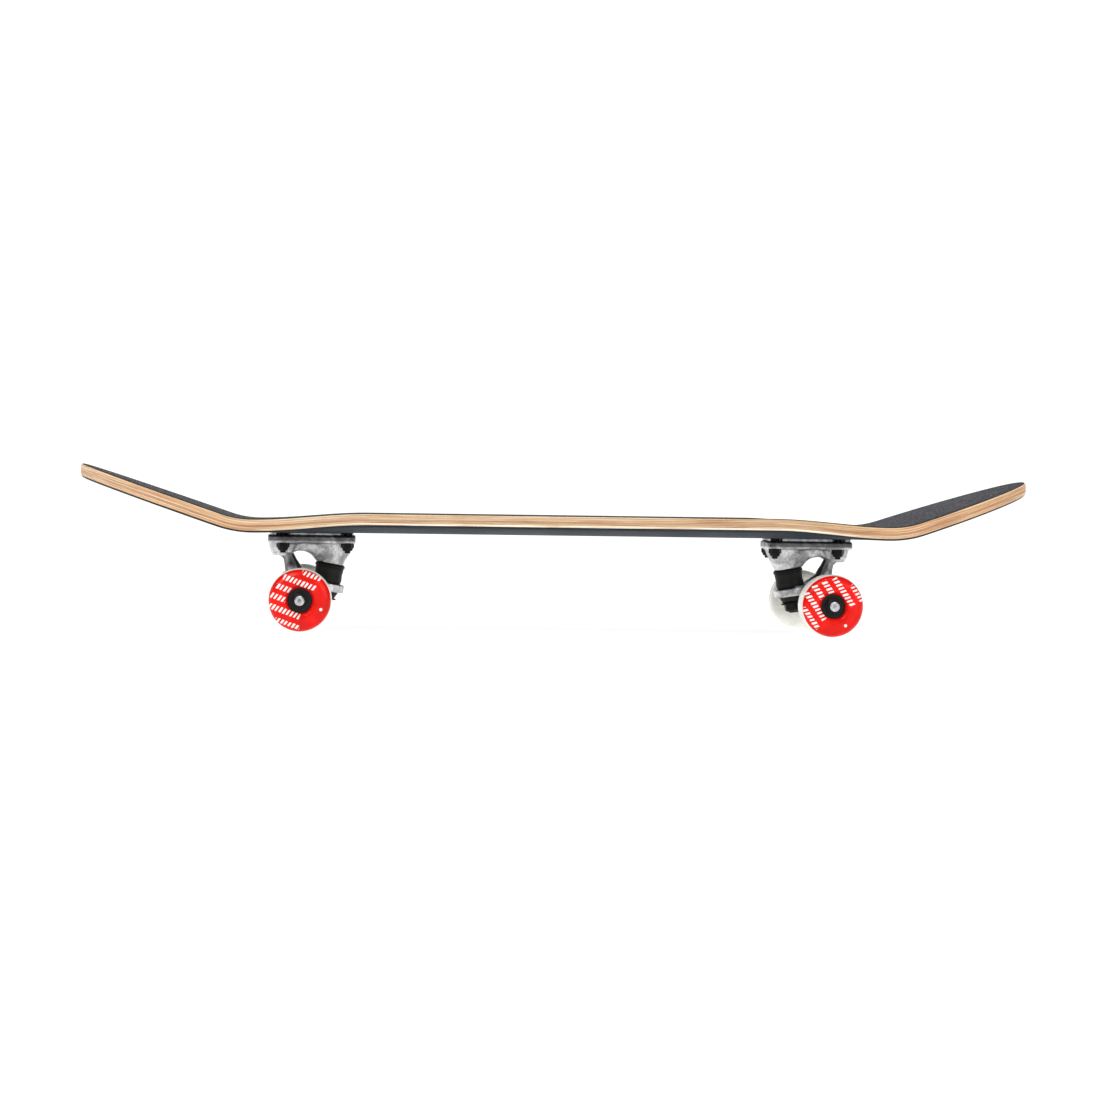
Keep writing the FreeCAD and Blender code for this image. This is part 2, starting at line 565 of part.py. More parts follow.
def outer_ring(side, start):
    ring = ring_y(OUTER_SHOULDER_R, BEARING_OUT_R, side, start, start + BEARING_W)
    return ring.cut(groove(side, start))


def inner_ring(side, start):
    ring = ring_y(BEARING_BORE_R, INNER_SHOULDER_R, side, start, start + BEARING_W)
    return ring.cut(groove(side, start))


def ball_directions():
    """Directions from the axle to each ball, set off from the rings' seam lines."""
    turns = [2 * math.pi * (i + 0.3) / BALL_COUNT for i in range(BALL_COUNT)]
    return [V(math.cos(turn), 0, math.sin(turn)) for turn in turns]


def balls(side, start):
    middle = V(0, side * (start + BEARING_W / 2), AXLE_Z)
    return [Part.makeSphere(BALL_R, middle + way * BALL_PITCH_R) for way in ball_directions()]


def cage(side, start):
    """A thin ring with a round pocket for each ball."""
    at = start + BEARING_W / 2
    ring = ring_y(BALL_PITCH_R - CAGE_HALF_T, BALL_PITCH_R + CAGE_HALF_T, side,
                  at - CAGE_HALF_W, at + CAGE_HALF_W)
    middle = V(0, side * at, AXLE_Z)
    for way in ball_directions():
        ring = ring.cut(rod(BALL_R + CAGE_POCKET_FIT, middle + way * (BALL_PITCH_R - 2), way, 4))
    return ring


def shields(side, start):
    """The two thin covers of one bearing, set just inside its faces."""
    inner, outer = INNER_SHOULDER_R + 0.3, OUTER_SHOULDER_R
    covers = []
    for low in (start + SHIELD_INSET, start + BEARING_W - SHIELD_INSET - SHIELD_T):
        covers.append(ring_y(inner, outer, side, low, low + SHIELD_T))
    return covers


def wheel(side):
    """The urethane tyre and its core in one moulding, with a seat for each bearing."""
    half, tread = WHEEL_W / 2, TREAD_W / 2
    seat = (BEARING_OUT_Y - BEARING_IN_Y) / 2
    inner = SPACER_L / 2
    outward = [(CORE_LIP_R, inner), (BEARING_OUT_R, inner), (BEARING_OUT_R, seat),
               (WHEEL_RECESS_R, seat + 0.4), (WHEEL_RECESS_R + 0.7, half - 0.8), (WHEEL_RECESS_R + 1.5, half),
               (WHEEL_R - 6.4, half), (WHEEL_R - 4.5, half - 0.6), (WHEEL_R - 1.8, half - 3.0),
               (WHEEL_R - 0.4, tread + 0.6), (WHEEL_R, tread - 1.4)]
    inward = [(r, -h) for r, h in reversed(outward)]
    return turned(outward + inward, V(0, side * WHEEL_MID_Y, AXLE_Z), V(0, side, 0))


def make_truck(end, word):
    """Every piece of one truck, with its wheels."""
    single = {"baseplate": baseplate, "pivot_cup": pivot_cup, "kingpin": kingpin, "kingpin_nut": kingpin_nut,
              "washer_top": washer_top, "washer_bottom": washer_bottom, "bushing_top": bushing_top,
              "bushing_bottom": bushing_bottom, "hanger": hanger, "axle": axle}
    for name, maker in single.items():
        save("%s_%s" % (name, word), on_board(maker(), end))
    both = {"axle_nuts": [axle_nut(side) for side in (-1, 1)],
            "bearing_spacers": [ring_y(AXLE_R + 0.1, SPACER_R, side, BEARING_IN_Y + BEARING_W,
                                       BEARING_IN_Y + BEARING_W + SPACER_L) for side in (-1, 1)],
            "speed_washers": [ring_y(AXLE_R + 0.1, SPEED_WASHER_R, side, at, at + WASHER_T)
                              for side in (-1, 1) for at in (HANGER_FACE, BEARING_OUT_Y)],
            "bearing_inner_rings": [inner_ring(side, start)
                                    for side in (-1, 1) for start in bearing_starts()]}
    for name, shapes in both.items():
        save("%s_%s" % (name, word), on_board(Part.makeCompound(shapes), end))
    for hand, board_side in (("near", -1), ("far", 1)):
        side = board_side if end < 0 else -board_side
        starts = bearing_starts()
        wheel_set = {"wheel": [wheel(side)],
                     "bearing_outer_rings": [outer_ring(side, start) for start in starts],
                     "bearing_balls": [ball for start in starts for ball in balls(side, start)],
                     "bearing_cages": [cage(side, start) for start in starts],
                     "bearing_shields": [cover for start in starts for cover in shields(side, start)]}
        for name, shapes in wheel_set.items():
            save("%s_%s_%s" % (name, word, hand), on_board(Part.makeCompound(shapes), end))


make_deck()
for board_end, end_word in ((-1, "front"), (1, "rear")):
    make_hardware(board_end, end_word)
    make_truck(board_end, end_word)
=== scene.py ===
"""Looks of a street skateboard: veneers, grip tape, cast trucks, bushings and printed wheels round its frame.

Places are metres in the board's frame: +X from nose to tail, +Z up, the ground at z = 0. Castings and
turned parts are worked out in millimetres in a truck's own frame, where x runs inboard from the axle.
"""
import math

import bpy
import numpy as np
from bpy.props import FloatProperty, FloatVectorProperty, IntProperty, PointerProperty
from mathutils import Matrix, Vector


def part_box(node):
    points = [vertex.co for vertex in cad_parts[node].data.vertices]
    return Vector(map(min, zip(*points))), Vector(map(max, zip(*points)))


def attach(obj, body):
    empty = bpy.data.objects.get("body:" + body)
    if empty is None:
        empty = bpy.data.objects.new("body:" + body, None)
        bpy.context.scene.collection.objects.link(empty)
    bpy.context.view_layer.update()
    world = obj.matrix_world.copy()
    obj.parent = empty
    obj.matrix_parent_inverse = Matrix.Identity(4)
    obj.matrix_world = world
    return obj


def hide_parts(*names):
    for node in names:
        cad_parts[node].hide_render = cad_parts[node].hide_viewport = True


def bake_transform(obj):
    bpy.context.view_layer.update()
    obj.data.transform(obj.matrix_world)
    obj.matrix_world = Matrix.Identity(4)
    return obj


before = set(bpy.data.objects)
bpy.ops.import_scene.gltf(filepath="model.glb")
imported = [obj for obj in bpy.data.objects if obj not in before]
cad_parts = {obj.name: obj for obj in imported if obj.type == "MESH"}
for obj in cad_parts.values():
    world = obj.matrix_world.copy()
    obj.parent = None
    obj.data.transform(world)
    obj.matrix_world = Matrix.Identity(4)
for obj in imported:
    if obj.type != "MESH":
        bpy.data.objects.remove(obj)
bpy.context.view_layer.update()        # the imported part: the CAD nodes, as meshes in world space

bl_info = {
    "name": "Street skateboard",
    "version": (1, 0, 0),
    "blender": (4, 5, 0),
    "location": "View3D > Sidebar > Skateboard",
    "description": "Builds a skateboard's veneers, trucks and wheels round its packed frame",
    "category": "Add Mesh",
}

MM = 0.001
PLIES, GRIP_T = 7, 0.0009
BOLT_HEAD_R, BOLT_HEAD_H, BOLT_HEAD_FIT, HOLE_R = 0.0045, 0.0026, 0.00015, 0.0026
WHEEL_R, WHEEL_HALF_WIDTH = 0.026, 0.0155
OUTLINE_STEPS, HOLE_STEPS, BUSHING_STEPS = 640, 40, 96
ENDS = (("front", -1), ("rear", 1))
HANDS = (("near", -1), ("far", 1))


# --- sizes and colours that a user would change -----------------------------------------------
class DeckSettings(bpy.types.PropertyGroup):
    """The deck's shape and colours."""
    nose_bend: FloatProperty(name="Nose bend", description="Where the flat middle ends at the nose",
                             default=-0.255, unit="LENGTH")
    tail_bend: FloatProperty(name="Tail bend", description="Where the flat middle ends at the tail",
                             default=0.268, unit="LENGTH")
    bend_radius: FloatProperty(name="Bend radius", description="Radius of the kick bends at the top ply",
                               default=0.080, unit="LENGTH")
    kick_angle: FloatProperty(name="Kick angle", description="Slope of the nose and the tail",
                              default=math.radians(18.5), subtype="ANGLE")
    concave: FloatProperty(name="Concave", description="Height of the rails above the flat middle",
                           default=0.006, unit="LENGTH")
    flat_half_width: FloatProperty(name="Flat half width", description="Half the width of the flat strip",
                                   default=0.030, unit="LENGTH")
    fade: FloatProperty(name="Concave fade", description="Length over which the rails come down",
                        default=0.095, unit="LENGTH")
    side_arc: FloatProperty(name="Side arc", description="Planform radius from side to rounded end",
                            default=0.130, unit="LENGTH")
    tip_arc: FloatProperty(name="Tip arc", description="Planform radius round the nose and tail",
                           default=0.080, unit="LENGTH")
    edge_radius: FloatProperty(name="Edge radius", description="Radius of the rounded deck edge",
                               default=0.0032, unit="LENGTH")
    maple: FloatVectorProperty(name="Maple", description="Colour of the natural veneers", subtype="COLOR",
                               default=(0.62, 0.435, 0.245))
    kick_maple: FloatVectorProperty(name="Kick maple", description="Colour of the veneers past the bends",
                                    subtype="COLOR", default=(0.72, 0.475, 0.26))
    red_ply: FloatVectorProperty(name="Red ply", description="Colour of the dyed middle veneer",
                                 subtype="COLOR", default=(0.52, 0.30, 0.18))
    cream_ply: FloatVectorProperty(name="Cream ply", description="Colour of the pale veneer",
                                   subtype="COLOR", default=(0.96, 0.88, 0.70))
    bottom: FloatVectorProperty(name="Bottom", description="Lacquer colour of the lowest veneer",
                                subtype="COLOR", default=(0.020, 0.025, 0.032))
    grip: FloatVectorProperty(name="Grip tape", description="Colour of the abrasive sheet", subtype="COLOR",
                              default=(0.050, 0.052, 0.070))


class TruckSettings(bpy.types.PropertyGroup):
    """The castings' grid and the metals' colours."""
    cell: FloatProperty(name="Casting cell", description="Grid step of the castings, in millimetres",
                        default=0.62, min=0.3, max=2.0)
    cast: FloatVectorProperty(name="Cast metal", description="Colour of the tumbled aluminium",
                              subtype="COLOR", default=(0.56, 0.56, 0.57))
    rubber: FloatVectorProperty(name="Bushing", description="Colour of the bushings", subtype="COLOR",
                                default=(0.008, 0.008, 0.007))


class WheelSettings(bpy.types.PropertyGroup):
    """The wheels' print and urethane."""
    segments: IntProperty(name="Segments", description="Steps round a wheel", default=160, min=24)
    print_radius: FloatProperty(name="Print radius", description="Outer radius of the printed face",
                                default=0.0252, unit="LENGTH")
    red: FloatVectorProperty(name="Print", description="Colour of the printed face", subtype="COLOR",
                             default=(0.74, 0.008, 0.004))
    marks: FloatVectorProperty(name="Marks", description="Colour of the ticks on the print", subtype="COLOR",
                               default=(0.86, 0.84, 0.80))
    cream: FloatVectorProperty(name="Urethane", description="Colour of the urethane", subtype="COLOR",
                               default=(0.93, 0.91, 0.83))


class StageSettings(bpy.types.PropertyGroup):
    """The camera, the floor and the lights."""
    floor_glow: FloatProperty(name="Floor glow", description="Light that the lit floor gives off itself",
                              default=0.86)
    daylight: FloatProperty(name="Room light", description="Strength of the even light", default=0.50)
    camera_place: FloatVectorProperty(name="Camera", description="Place of the camera", unit="LENGTH",
                                      default=(-0.17205, -2.31012, 0.10618))
    camera_turn: FloatVectorProperty(name="Turn", description="Pitch, yaw and roll of the camera",
                                     subtype="EULER",
                                     default=(math.radians(-0.942), math.radians(4.111), math.radians(0.787)))
    lens: FloatProperty(name="Lens", description="Focal length in millimetres", default=89.02)
    paper: FloatVectorProperty(name="Paper", description="Colour of the floor", subtype="COLOR",
                               default=(0.32, 0.32, 0.32))


GROUPS = {"skate_deck": DeckSettings, "skate_truck": TruckSettings, "skate_wheel": WheelSettings,
          "skate_stage": StageSettings}


# --- meshes from arrays -------------------------------------------------------------------------
def clean_faces(faces):
    """Quads whose corners have merged become triangles, or go when they have fewer than three corners."""
    nxt = np.roll(faces, -1, axis=1)
    same = faces == nxt
    quads = faces[same.sum(axis=1) == 0]
    once = faces[same.sum(axis=1) == 1]
    spot = np.argmax(same[same.sum(axis=1) == 1], axis=1)
    keep = np.arange(4)[None, :] != spot[:, None]
    triangles = once[keep].reshape(-1, 3)
    triangles = triangles[(triangles[:, 0] != triangles[:, 2])]
    return quads, triangles


def piece(name, points, faces, attributes=None, uv=None, sharp=None, merge=True):
    """A mesh object from points (n, 3) in metres and quads (m, 4); points within a micron are merged."""
    points = np.asarray(points, float)
    faces = np.asarray(faces, int)
    attributes = dict(attributes or {})
    if merge:
        _, first, inverse = np.unique(np.round(points / 1e-6).astype(np.int64), axis=0, return_index=True,
                                      return_inverse=True)
        points = points[first]
        faces = inverse.reshape(-1)[faces]
        attributes = {key: values[first] for key, values in attributes.items()}
        uv = None if uv is None else uv[first]
    quads, triangles = clean_faces(faces)
    mesh = bpy.data.meshes.new(name)
    mesh.from_pydata(points.tolist(), [], quads.tolist() + triangles.tolist())
    for key, values in attributes.items():
        layer = mesh.attributes.new(key, "FLOAT", "POINT")
        layer.data.foreach_set("value", np.asarray(values, np.float32))
    if uv is not None:
        corners = np.empty(len(mesh.loops), np.int32)
        mesh.loops.foreach_get("vertex_index", corners)
        mesh.uv_layers.new(name="face").data.foreach_set("uv", uv[corners].astype(np.float32).ravel())
    mesh.shade_smooth()
    if sharp is not None:
        mesh.set_sharp_from_angle(angle=sharp)
    mesh.update()
    made = bpy.data.objects.new(name, mesh)
    bpy.context.scene.collection.objects.link(made)
    return made


def grid_faces(rows, columns, close_columns=False, flip=False):
    """The quads of a grid of rows by columns; closed columns join the last column to the first."""
    i, j = np.meshgrid(np.arange(rows - 1), np.arange(columns - (0 if close_columns else 1)), indexing="ij")
    k = (j + 1) % columns
    here, after = i * columns, (i + 1) * columns
    quads = np.stack([here + j, here + k, after + k, after + j], axis=-1).reshape(-1, 4)
    return quads[:, ::-1] if flip else quads


def rounded_line(corners, steps=6):
    """A closed profile whose corners (r, h, radius) are rounded: each corner is cut back by the radius over
    the tangent of half its inner angle, and a quadratic curve with the corner as handle joins the cuts."""
    corners = np.asarray(corners, float)
    spots, radii = corners[:, :2], corners[:, 2]
    before, after = np.roll(spots, 1, axis=0), np.roll(spots, -1, axis=0)
    to_before, to_after = before - spots, after - spots
    len_before = np.linalg.norm(to_before, axis=1)
    len_after = np.linalg.norm(to_after, axis=1)
    cosine = np.sum(to_before * to_after, axis=1) / (len_before * len_after)
    half = np.arccos(np.clip(cosine, -0.9999, 0.9999)) / 2
    cut = np.minimum(radii / np.tan(half), 0.48 * np.minimum(len_before, len_after))
    start = spots + to_before * (cut / len_before)[:, None]
    stop = spots + to_after * (cut / len_after)[:, None]
    t = np.linspace(0, 1, steps)[None, :, None]
    curve = start[:, None] * (1 - t) ** 2 + spots[:, None] * 2 * t * (1 - t) + stop[:, None] * t ** 2
    return curve.reshape(-1, 2)


def turned_points(profile, segments, centre, axis, across):
    """Points of a surface of revolution: centre + axis * height + radius * (across, turned by the angle)."""
    axis = np.asarray(axis, float) / np.linalg.norm(axis)
    across = np.asarray(across, float) - axis * np.dot(across, axis)
    across /= np.linalg.norm(across)
    other = np.cross(axis, across)
    angle = np.linspace(0, 2 * np.pi, segments, endpoint=False)
    ring = np.cos(angle)[:, None] * across + np.sin(angle)[:, None] * other
    points = np.asarray(centre, float) + profile[None, :, 1:2] * axis + profile[None, :, 0:1] * ring[:, None]
    return points.reshape(-1, 3)


def turned_faces(segments, count):
    """Quads of a closed profile carried round a full turn."""
    i, j = np.meshgrid(np.arange(segments), np.arange(count), indexing="ij")
    a, b = (i + 1) % segments, (j + 1) % count
    return np.stack([i * count + j, i * count + b, a * count + b, a * count + j], axis=-1).reshape(-1, 4)


def outward(made):
    """Turn the faces outwards if the mesh's signed volume is negative."""
    mesh = made.data
    mesh.calc_loop_triangles()
    corners = np.empty(len(mesh.loop_triangles) * 3, np.int32)
    mesh.loop_triangles.foreach_get("vertices", corners)
    spots = np.empty(len(mesh.vertices) * 3)
    mesh.vertices.foreach_get("co", spots)
    tri = spots.reshape(-1, 3)[corners.reshape(-1, 3)]
    volume = np.einsum("ij,ij->i", tri[:, 0], np.cross(tri[:, 1], tri[:, 2])).sum() / 6
    if volume < 0:
        mesh.flip_normals()
    return made


# --- places from the frame ----------------------------------------------------------------------
def box_of(node):
    low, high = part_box(node)
    return np.array(low), np.array(high)


def ply_thickness():
    return box_of("ply_2")[0][2] - box_of("ply_1")[0][2]


def axle_place(end_word):
    low, high = box_of("axle_" + end_word)
    return (low + high) / 2


def to_board(points, end_word, end):
    """Points in a truck's millimetre frame, put on the board: the rear truck is turned half round."""
    place = axle_place(end_word)
    side = 1.0 if end < 0 else -1.0
    points = np.asarray(points, float) * MM
    return np.stack([place[0] + side * points[..., 0], side * points[..., 1], points[..., 2]], axis=-1)


# --- deck ---------------------------------------------------------------------------------------
def outline_points(deck, count):
    """Planform points and outward normals, anticlockwise: straight sides, side arcs and tip arcs, each
    shared out by its length. A side arc and a tip arc meet where their centres' line crosses them."""
    low, high = box_of("ply_4")
    half = high[1]
    side_r, tip_r = deck.side_arc, deck.tip_arc
    rise = side_r - half
    between = math.sqrt((side_r - tip_r) ** 2 - rise ** 2)
    meet = math.atan2(rise, between)
    tail_tip, nose_tip = high[0] - tip_r, low[0] + tip_r
    tail_side, nose_side = tail_tip - between, nose_tip + between
    lengths = [tip_r * meet, side_r * (math.pi / 2 - meet), tail_side - nose_side,
               side_r * (math.pi / 2 - meet), tip_r * meet]
    steps = np.maximum(2, np.round(np.array(lengths) / sum(lengths) * count / 2)).astype(int)
    spots, normals = [], []

    def arc(cx, cy, radius, start, stop, number):
        turn = np.linspace(start, stop, number, endpoint=False)
        normals.append(np.stack([np.cos(turn), np.sin(turn)], axis=1))
        spots.append(np.array([cx, cy]) + radius * normals[-1])

    arc(tail_tip, 0.0, tip_r, 0.0, meet, steps[0])
    arc(tail_side, -rise, side_r, meet, math.pi / 2, steps[1])
    x = np.linspace(tail_side, nose_side, steps[2], endpoint=False)
    spots.append(np.stack([x, np.full_like(x, half)], axis=1))
    normals.append(np.tile([0.0, 1.0], (len(x), 1)))
    arc(nose_side, -rise, side_r, math.pi / 2, math.pi - meet, steps[3])
    arc(nose_tip, 0.0, tip_r, math.pi - meet, math.pi, steps[4])
    upper, upper_n = np.concatenate(spots), np.concatenate(normals)
    last, last_n = np.array([[low[0], 0.0]]), np.array([[-1.0, 0.0]])
    mirror = np.array([1.0, -1.0])
    spots = np.concatenate([upper, last, upper[:0:-1] * mirror])
    normals = np.concatenate([upper_n, last_n, upper_n[:0:-1] * mirror])
    return spots, normals, (nose_tip, tail_tip)


def deck_height(deck, x, y, layer):
    """Height of a surface that lies layer above the belly: flat, then an arc about the bend's centre, then a
    straight kick; the rails add concave * fade(x) * ((|y| - flat) / (half - flat)) squared."""
    belly = box_of("ply_1")[0][2]
    centre_z = belly + PLIES * ply_thickness() + deck.bend_radius
    radius = centre_z - (belly + layer)
    reach = np.maximum(np.maximum(deck.nose_bend - x, x - deck.tail_bend), 0.0)
    arc_reach = radius * math.sin(deck.kick_angle)
    on_arc = np.minimum(reach, arc_reach)
    z = centre_z - np.sqrt(radius ** 2 - on_arc ** 2) + (reach - on_arc) * math.tan(deck.kick_angle)
    half = box_of("ply_4")[1][1]
    along = np.clip(np.minimum((x - deck.nose_bend) / deck.fade, (deck.tail_bend - x) / deck.fade), 0.0, 1.0)
    across = np.maximum(np.abs(y) - deck.flat_half_width, 0.0) / (half - deck.flat_half_width)
    return z + deck.concave * along ** 2 * (3 - 2 * along) * across ** 2


def edge_inset(deck, layer, total):
    """How far the rounded edge has come in: r - sqrt(r^2 - (r - d)^2) at distance d from the nearer face."""
    d = np.minimum(layer, total - layer)
    inside = np.maximum(deck.edge_radius - d, 0.0)
    return deck.edge_radius - np.sqrt(deck.edge_radius ** 2 - inside ** 2)


def deck_layer(deck, name, low, high, total, rings, wall_steps=5, soften=0.00009):
    """One closed layer: rings shrink from the outline to a spine, r from 1 to 0, on the top and the bottom,
    and wall steps between them follow the rounded edge; the wall's own corners come in by soften."""
    spots, normals, (nose_tip, tail_tip) = outline_points(deck, OUTLINE_STEPS)
    spine = np.stack([np.clip(spots[:, 0], nose_tip, tail_tip), np.zeros(len(spots))], axis=1)
    loops, shares = [], []
    fractions = np.linspace(0, 1, rings + 1)
    wall = np.linspace(low, high, wall_steps)
    for h, r in [(low, r) for r in fractions[:-1]]:
        loops.append((h, r, edge_inset(deck, low, total) + soften))
        shares.append(0.0)
    for h in wall:
        end = 0.0 if wall[0] < h < wall[-1] else soften
        loops.append((h, 1.0, edge_inset(deck, h, total) + end))
        shares.append((h - low) / (high - low))
    for h, r in [(high, r) for r in fractions[-2::-1]]:
        loops.append((h, r, edge_inset(deck, high, total) + soften))
        shares.append(1.0)
    points = []
    for h, r, inset in loops:
        rim = spots - normals * inset
        flat = spine + (rim - spine) * r
        points.append(np.column_stack([flat, deck_height(deck, flat[:, 0], flat[:, 1], h)]))
    faces = grid_faces(len(loops), len(spots), close_columns=True)
    layers = {"share": np.repeat(shares, len(spots)),
              "rim": np.repeat([r for _, r, _ in loops], len(spots))}
    return outward(piece(name, np.concatenate(points), faces, layers, sharp=math.radians(50)))


def bolt_places():
    """The eight bolt places, from the boxes of both trucks' bolts."""
    places = []
    for word, _ in ENDS:
        low, high = box_of("mounting_bolts_" + word)
        x_places, y_places = ((low[k] + BOLT_HEAD_R, high[k] - BOLT_HEAD_R) for k in (0, 1))
        places += [(x, y) for x in x_places for y in y_places]
    return places


def drill(made):
    """Cut every bolt hole and countersink through a layer with one mesh of turned cutters."""
    sink = box_of("ply_1")[0][2] + PLIES * ply_thickness() + GRIP_T - BOLT_HEAD_H
    rim = BOLT_HEAD_R + BOLT_HEAD_FIT
    profile = np.array([(0, -0.03), (HOLE_R, -0.03), (HOLE_R, 0), (rim, BOLT_HEAD_H), (rim, 0.01), (0, 0.01)])
    sets = [turned_points(profile, HOLE_STEPS, (x, y, sink), (0, 0, 1), (1, 0, 0)) for x, y in bolt_places()]
    faces = turned_faces(HOLE_STEPS, len(profile))
    together = np.concatenate([faces + k * len(sets[0]) for k in range(len(sets))])
    cutter = outward(piece("cutter", np.concatenate(sets), together))
    cut = made.modifiers.new("holes", "BOOLEAN")
    cut.operation, cut.solver, cut.object = "DIFFERENCE", "EXACT", cutter
    settle(made)
    bpy.data.objects.remove(cutter)
    made.data.shade_smooth()
    made.data.set_sharp_from_angle(angle=math.radians(50))
    return made


def settle(made):
    """Replace the mesh with the result of its modifiers."""
    graph = bpy.context.evaluated_depsgraph_get()
    mesh = bpy.data.meshes.new_from_object(made.evaluated_get(graph))
    made.modifiers.clear()
    old = made.data
    made.data = mesh
    bpy.data.meshes.remove(old)


# --- castings from distance fields -----------------------------------------------------------------
def length(p):
    return np.sqrt(np.sum(p * p, axis=-1))


def smooth(value, low, high):
    """0 up to low, 1 from high, and a smooth step between them."""
    t = np.clip((value - low) / (high - low), 0, 1)
    return t * t * (3 - 2 * t)


def blend_union(a, b, k):
    """Smooth minimum: the smaller distance less a quarter of k times the squared overlap of the blend."""
    h = np.maximum(k - np.abs(a - b), 0.0) / k
    return np.minimum(a, b) - h * h * k * 0.25


def blend_cut(a, b, k):
    """Smooth difference: the smooth maximum of a and minus b."""
    return -blend_union(-a, b, k)


def rounded(d, rounding):
    """Distance to a shape from its distances along each axis (the last of d), with edges rounded."""
    return np.minimum(np.max(d, axis=-1), 0) + length(np.maximum(d, 0)) - rounding


def capsule(p, a, b, ra, rb):
    """Distance to a tapered capsule: along its axis the radius goes evenly from ra to rb."""
    a, b = np.asarray(a, float), np.asarray(b, float)
    t = np.clip(((p - a) @ (b - a)) / np.dot(b - a, b - a), 0, 1)
    return length(p - a - t[..., None] * (b - a)) - (ra + (rb - ra) * t)


def drum(p, centre, axis, radius, half, rounding=0.0):
    """Distance to a cylinder with rounded rims."""
    axis = np.asarray(axis, float) / np.linalg.norm(axis)
    q = p - np.asarray(centre, float)
    h = q @ axis
    r = length(q - h[..., None] * axis)
    return rounded(np.stack([r - radius + rounding, np.abs(h) - half + rounding], axis=-1), rounding)


def block(p, centre, half, rounding=0.0, tilt=0.0):
    """Distance to a box with rounded edges, tilted about the truck's cross axis."""
    q = p - np.asarray(centre, float)
    c, s = math.cos(tilt), math.sin(tilt)
    q = np.stack([q[..., 0] * c - q[..., 2] * s, q[..., 1], q[..., 0] * s + q[..., 2] * c], axis=-1)
    return rounded(np.abs(q) - (np.asarray(half, float) - rounding), rounding)


def plate(p, x0, x1, half_w, low, high, corner, rounding):
    """Distance to a flat plate with round corners in plan and rounded rims."""
    q = np.abs(np.stack([p[..., 0] - (x0 + x1) / 2, p[..., 1]], axis=-1))
    flat = rounded(q - (np.array([(x1 - x0) / 2, half_w]) - corner), corner)
    up = np.abs(p[..., 2] - (low + high) / 2) - (high - low) / 2
    return rounded(np.stack([flat + rounding, up + rounding], axis=-1), rounding)


ROUNDNESS = 2.6


def tower(p, stations):
    """Distance-like field of an upright casting: at each height a superellipse of power ROUNDNESS, its
    middle and half sizes read evenly from stations of (z, middle x, half x, half y), lowest first."""
    table = np.array(stations)
    z = p[..., 2]
    middle, half_x, half_y = (np.interp(z, table[:, 0], table[:, k]) for k in (1, 2, 3))
    ratio = np.abs((p[..., 0] - middle) / half_x) ** ROUNDNESS + np.abs(p[..., 1] / half_y) ** ROUNDNESS
    ratio = ratio ** (1 / ROUNDNESS)
    side = (ratio - 1) * np.minimum(half_x, half_y)
    return np.maximum(side, np.maximum(table[0, 0] - z, z - table[-1, 0]))


def surface_net(field, low, high, cell):
    """A closed mesh of the field's zero surface. Grid cells that it crosses get a vertex at the mean of their
    edge crossings, and each crossed grid edge joins the four cells round it. Three Newton steps along the
    gradient then put the vertices on the surface."""
    axes = [np.arange(a, b + cell, cell) for a, b in zip(low, high)]
    grid = np.stack(np.meshgrid(*axes, indexing="ij"), axis=-1)
    value = field(grid)
    size = np.array(value.shape)
    total = np.zeros(tuple(size - 1) + (3,))
    count = np.zeros(tuple(size - 1))
    crossings = []
    for axis in range(3):
        first = [slice(None)] * 3
        second = [slice(None)] * 3
        first[axis], second[axis] = slice(None, -1), slice(1, None)
        a, b = value[tuple(first)], value[tuple(second)]
        crossed = (a < 0) != (b < 0)
        share = np.where(crossed, a / np.where(crossed, a - b, 1.0), 0.0)
        spot = np.stack(np.meshgrid(*[np.arange(n) for n in a.shape], indexing="ij"), axis=-1).astype(float)
        spot[..., axis] += share
        spot *= crossed[..., None]
        others = [k for k in range(3) if k != axis]
        for shift_a in (0, 1):
            for shift_b in (0, 1):
                part = [slice(None)] * 3
                part[others[0]] = slice(shift_a, shift_a + size[others[0]] - 1)
                part[others[1]] = slice(shift_b, shift_b + size[others[1]] - 1)
                total += spot[tuple(part)]
                count += crossed[tuple(part)]
        crossings.append((crossed, a < 0, others))
    used = count > 0
    index = np.cumsum(used.ravel()).reshape(used.shape) - 1
    points = total[used] / count[used][:, None] * cell + np.asarray(low, float)
    quads = []
    for axis, (crossed, inside, others) in enumerate(crossings):
        where = np.argwhere(crossed)
        starts_inside = inside[crossed]
        u, v = others
        keep = np.all([(where[:, k] > 0) & (where[:, k] < size[k] - 1) for k in others], axis=0)
        where, starts_inside = where[keep], starts_inside[keep]
        corner = []
        for du, dv in ((1, 1), (0, 1), (0, 0), (1, 0)):
            at = where.copy()
            at[:, u] -= du
            at[:, v] -= dv
            corner.append(index[at[:, 0], at[:, 1], at[:, 2]])
        face = np.stack(corner, axis=1)
        forward = starts_inside if axis != 1 else ~starts_inside
        quads.append(np.where(forward[:, None], face, face[:, ::-1]))
    nudge = 0.05
    for _ in range(3):
        here = field(points)
        slope = np.stack([(field(points + nudge * np.eye(3)[k]) - here) / nudge for k in range(3)], axis=-1)
        step = here[:, None] * slope / np.maximum(np.sum(slope * slope, axis=-1), 0.25)[:, None]
        points = points - np.clip(step, -0.45 * cell, 0.45 * cell)
    return points, np.concatenate(quads)


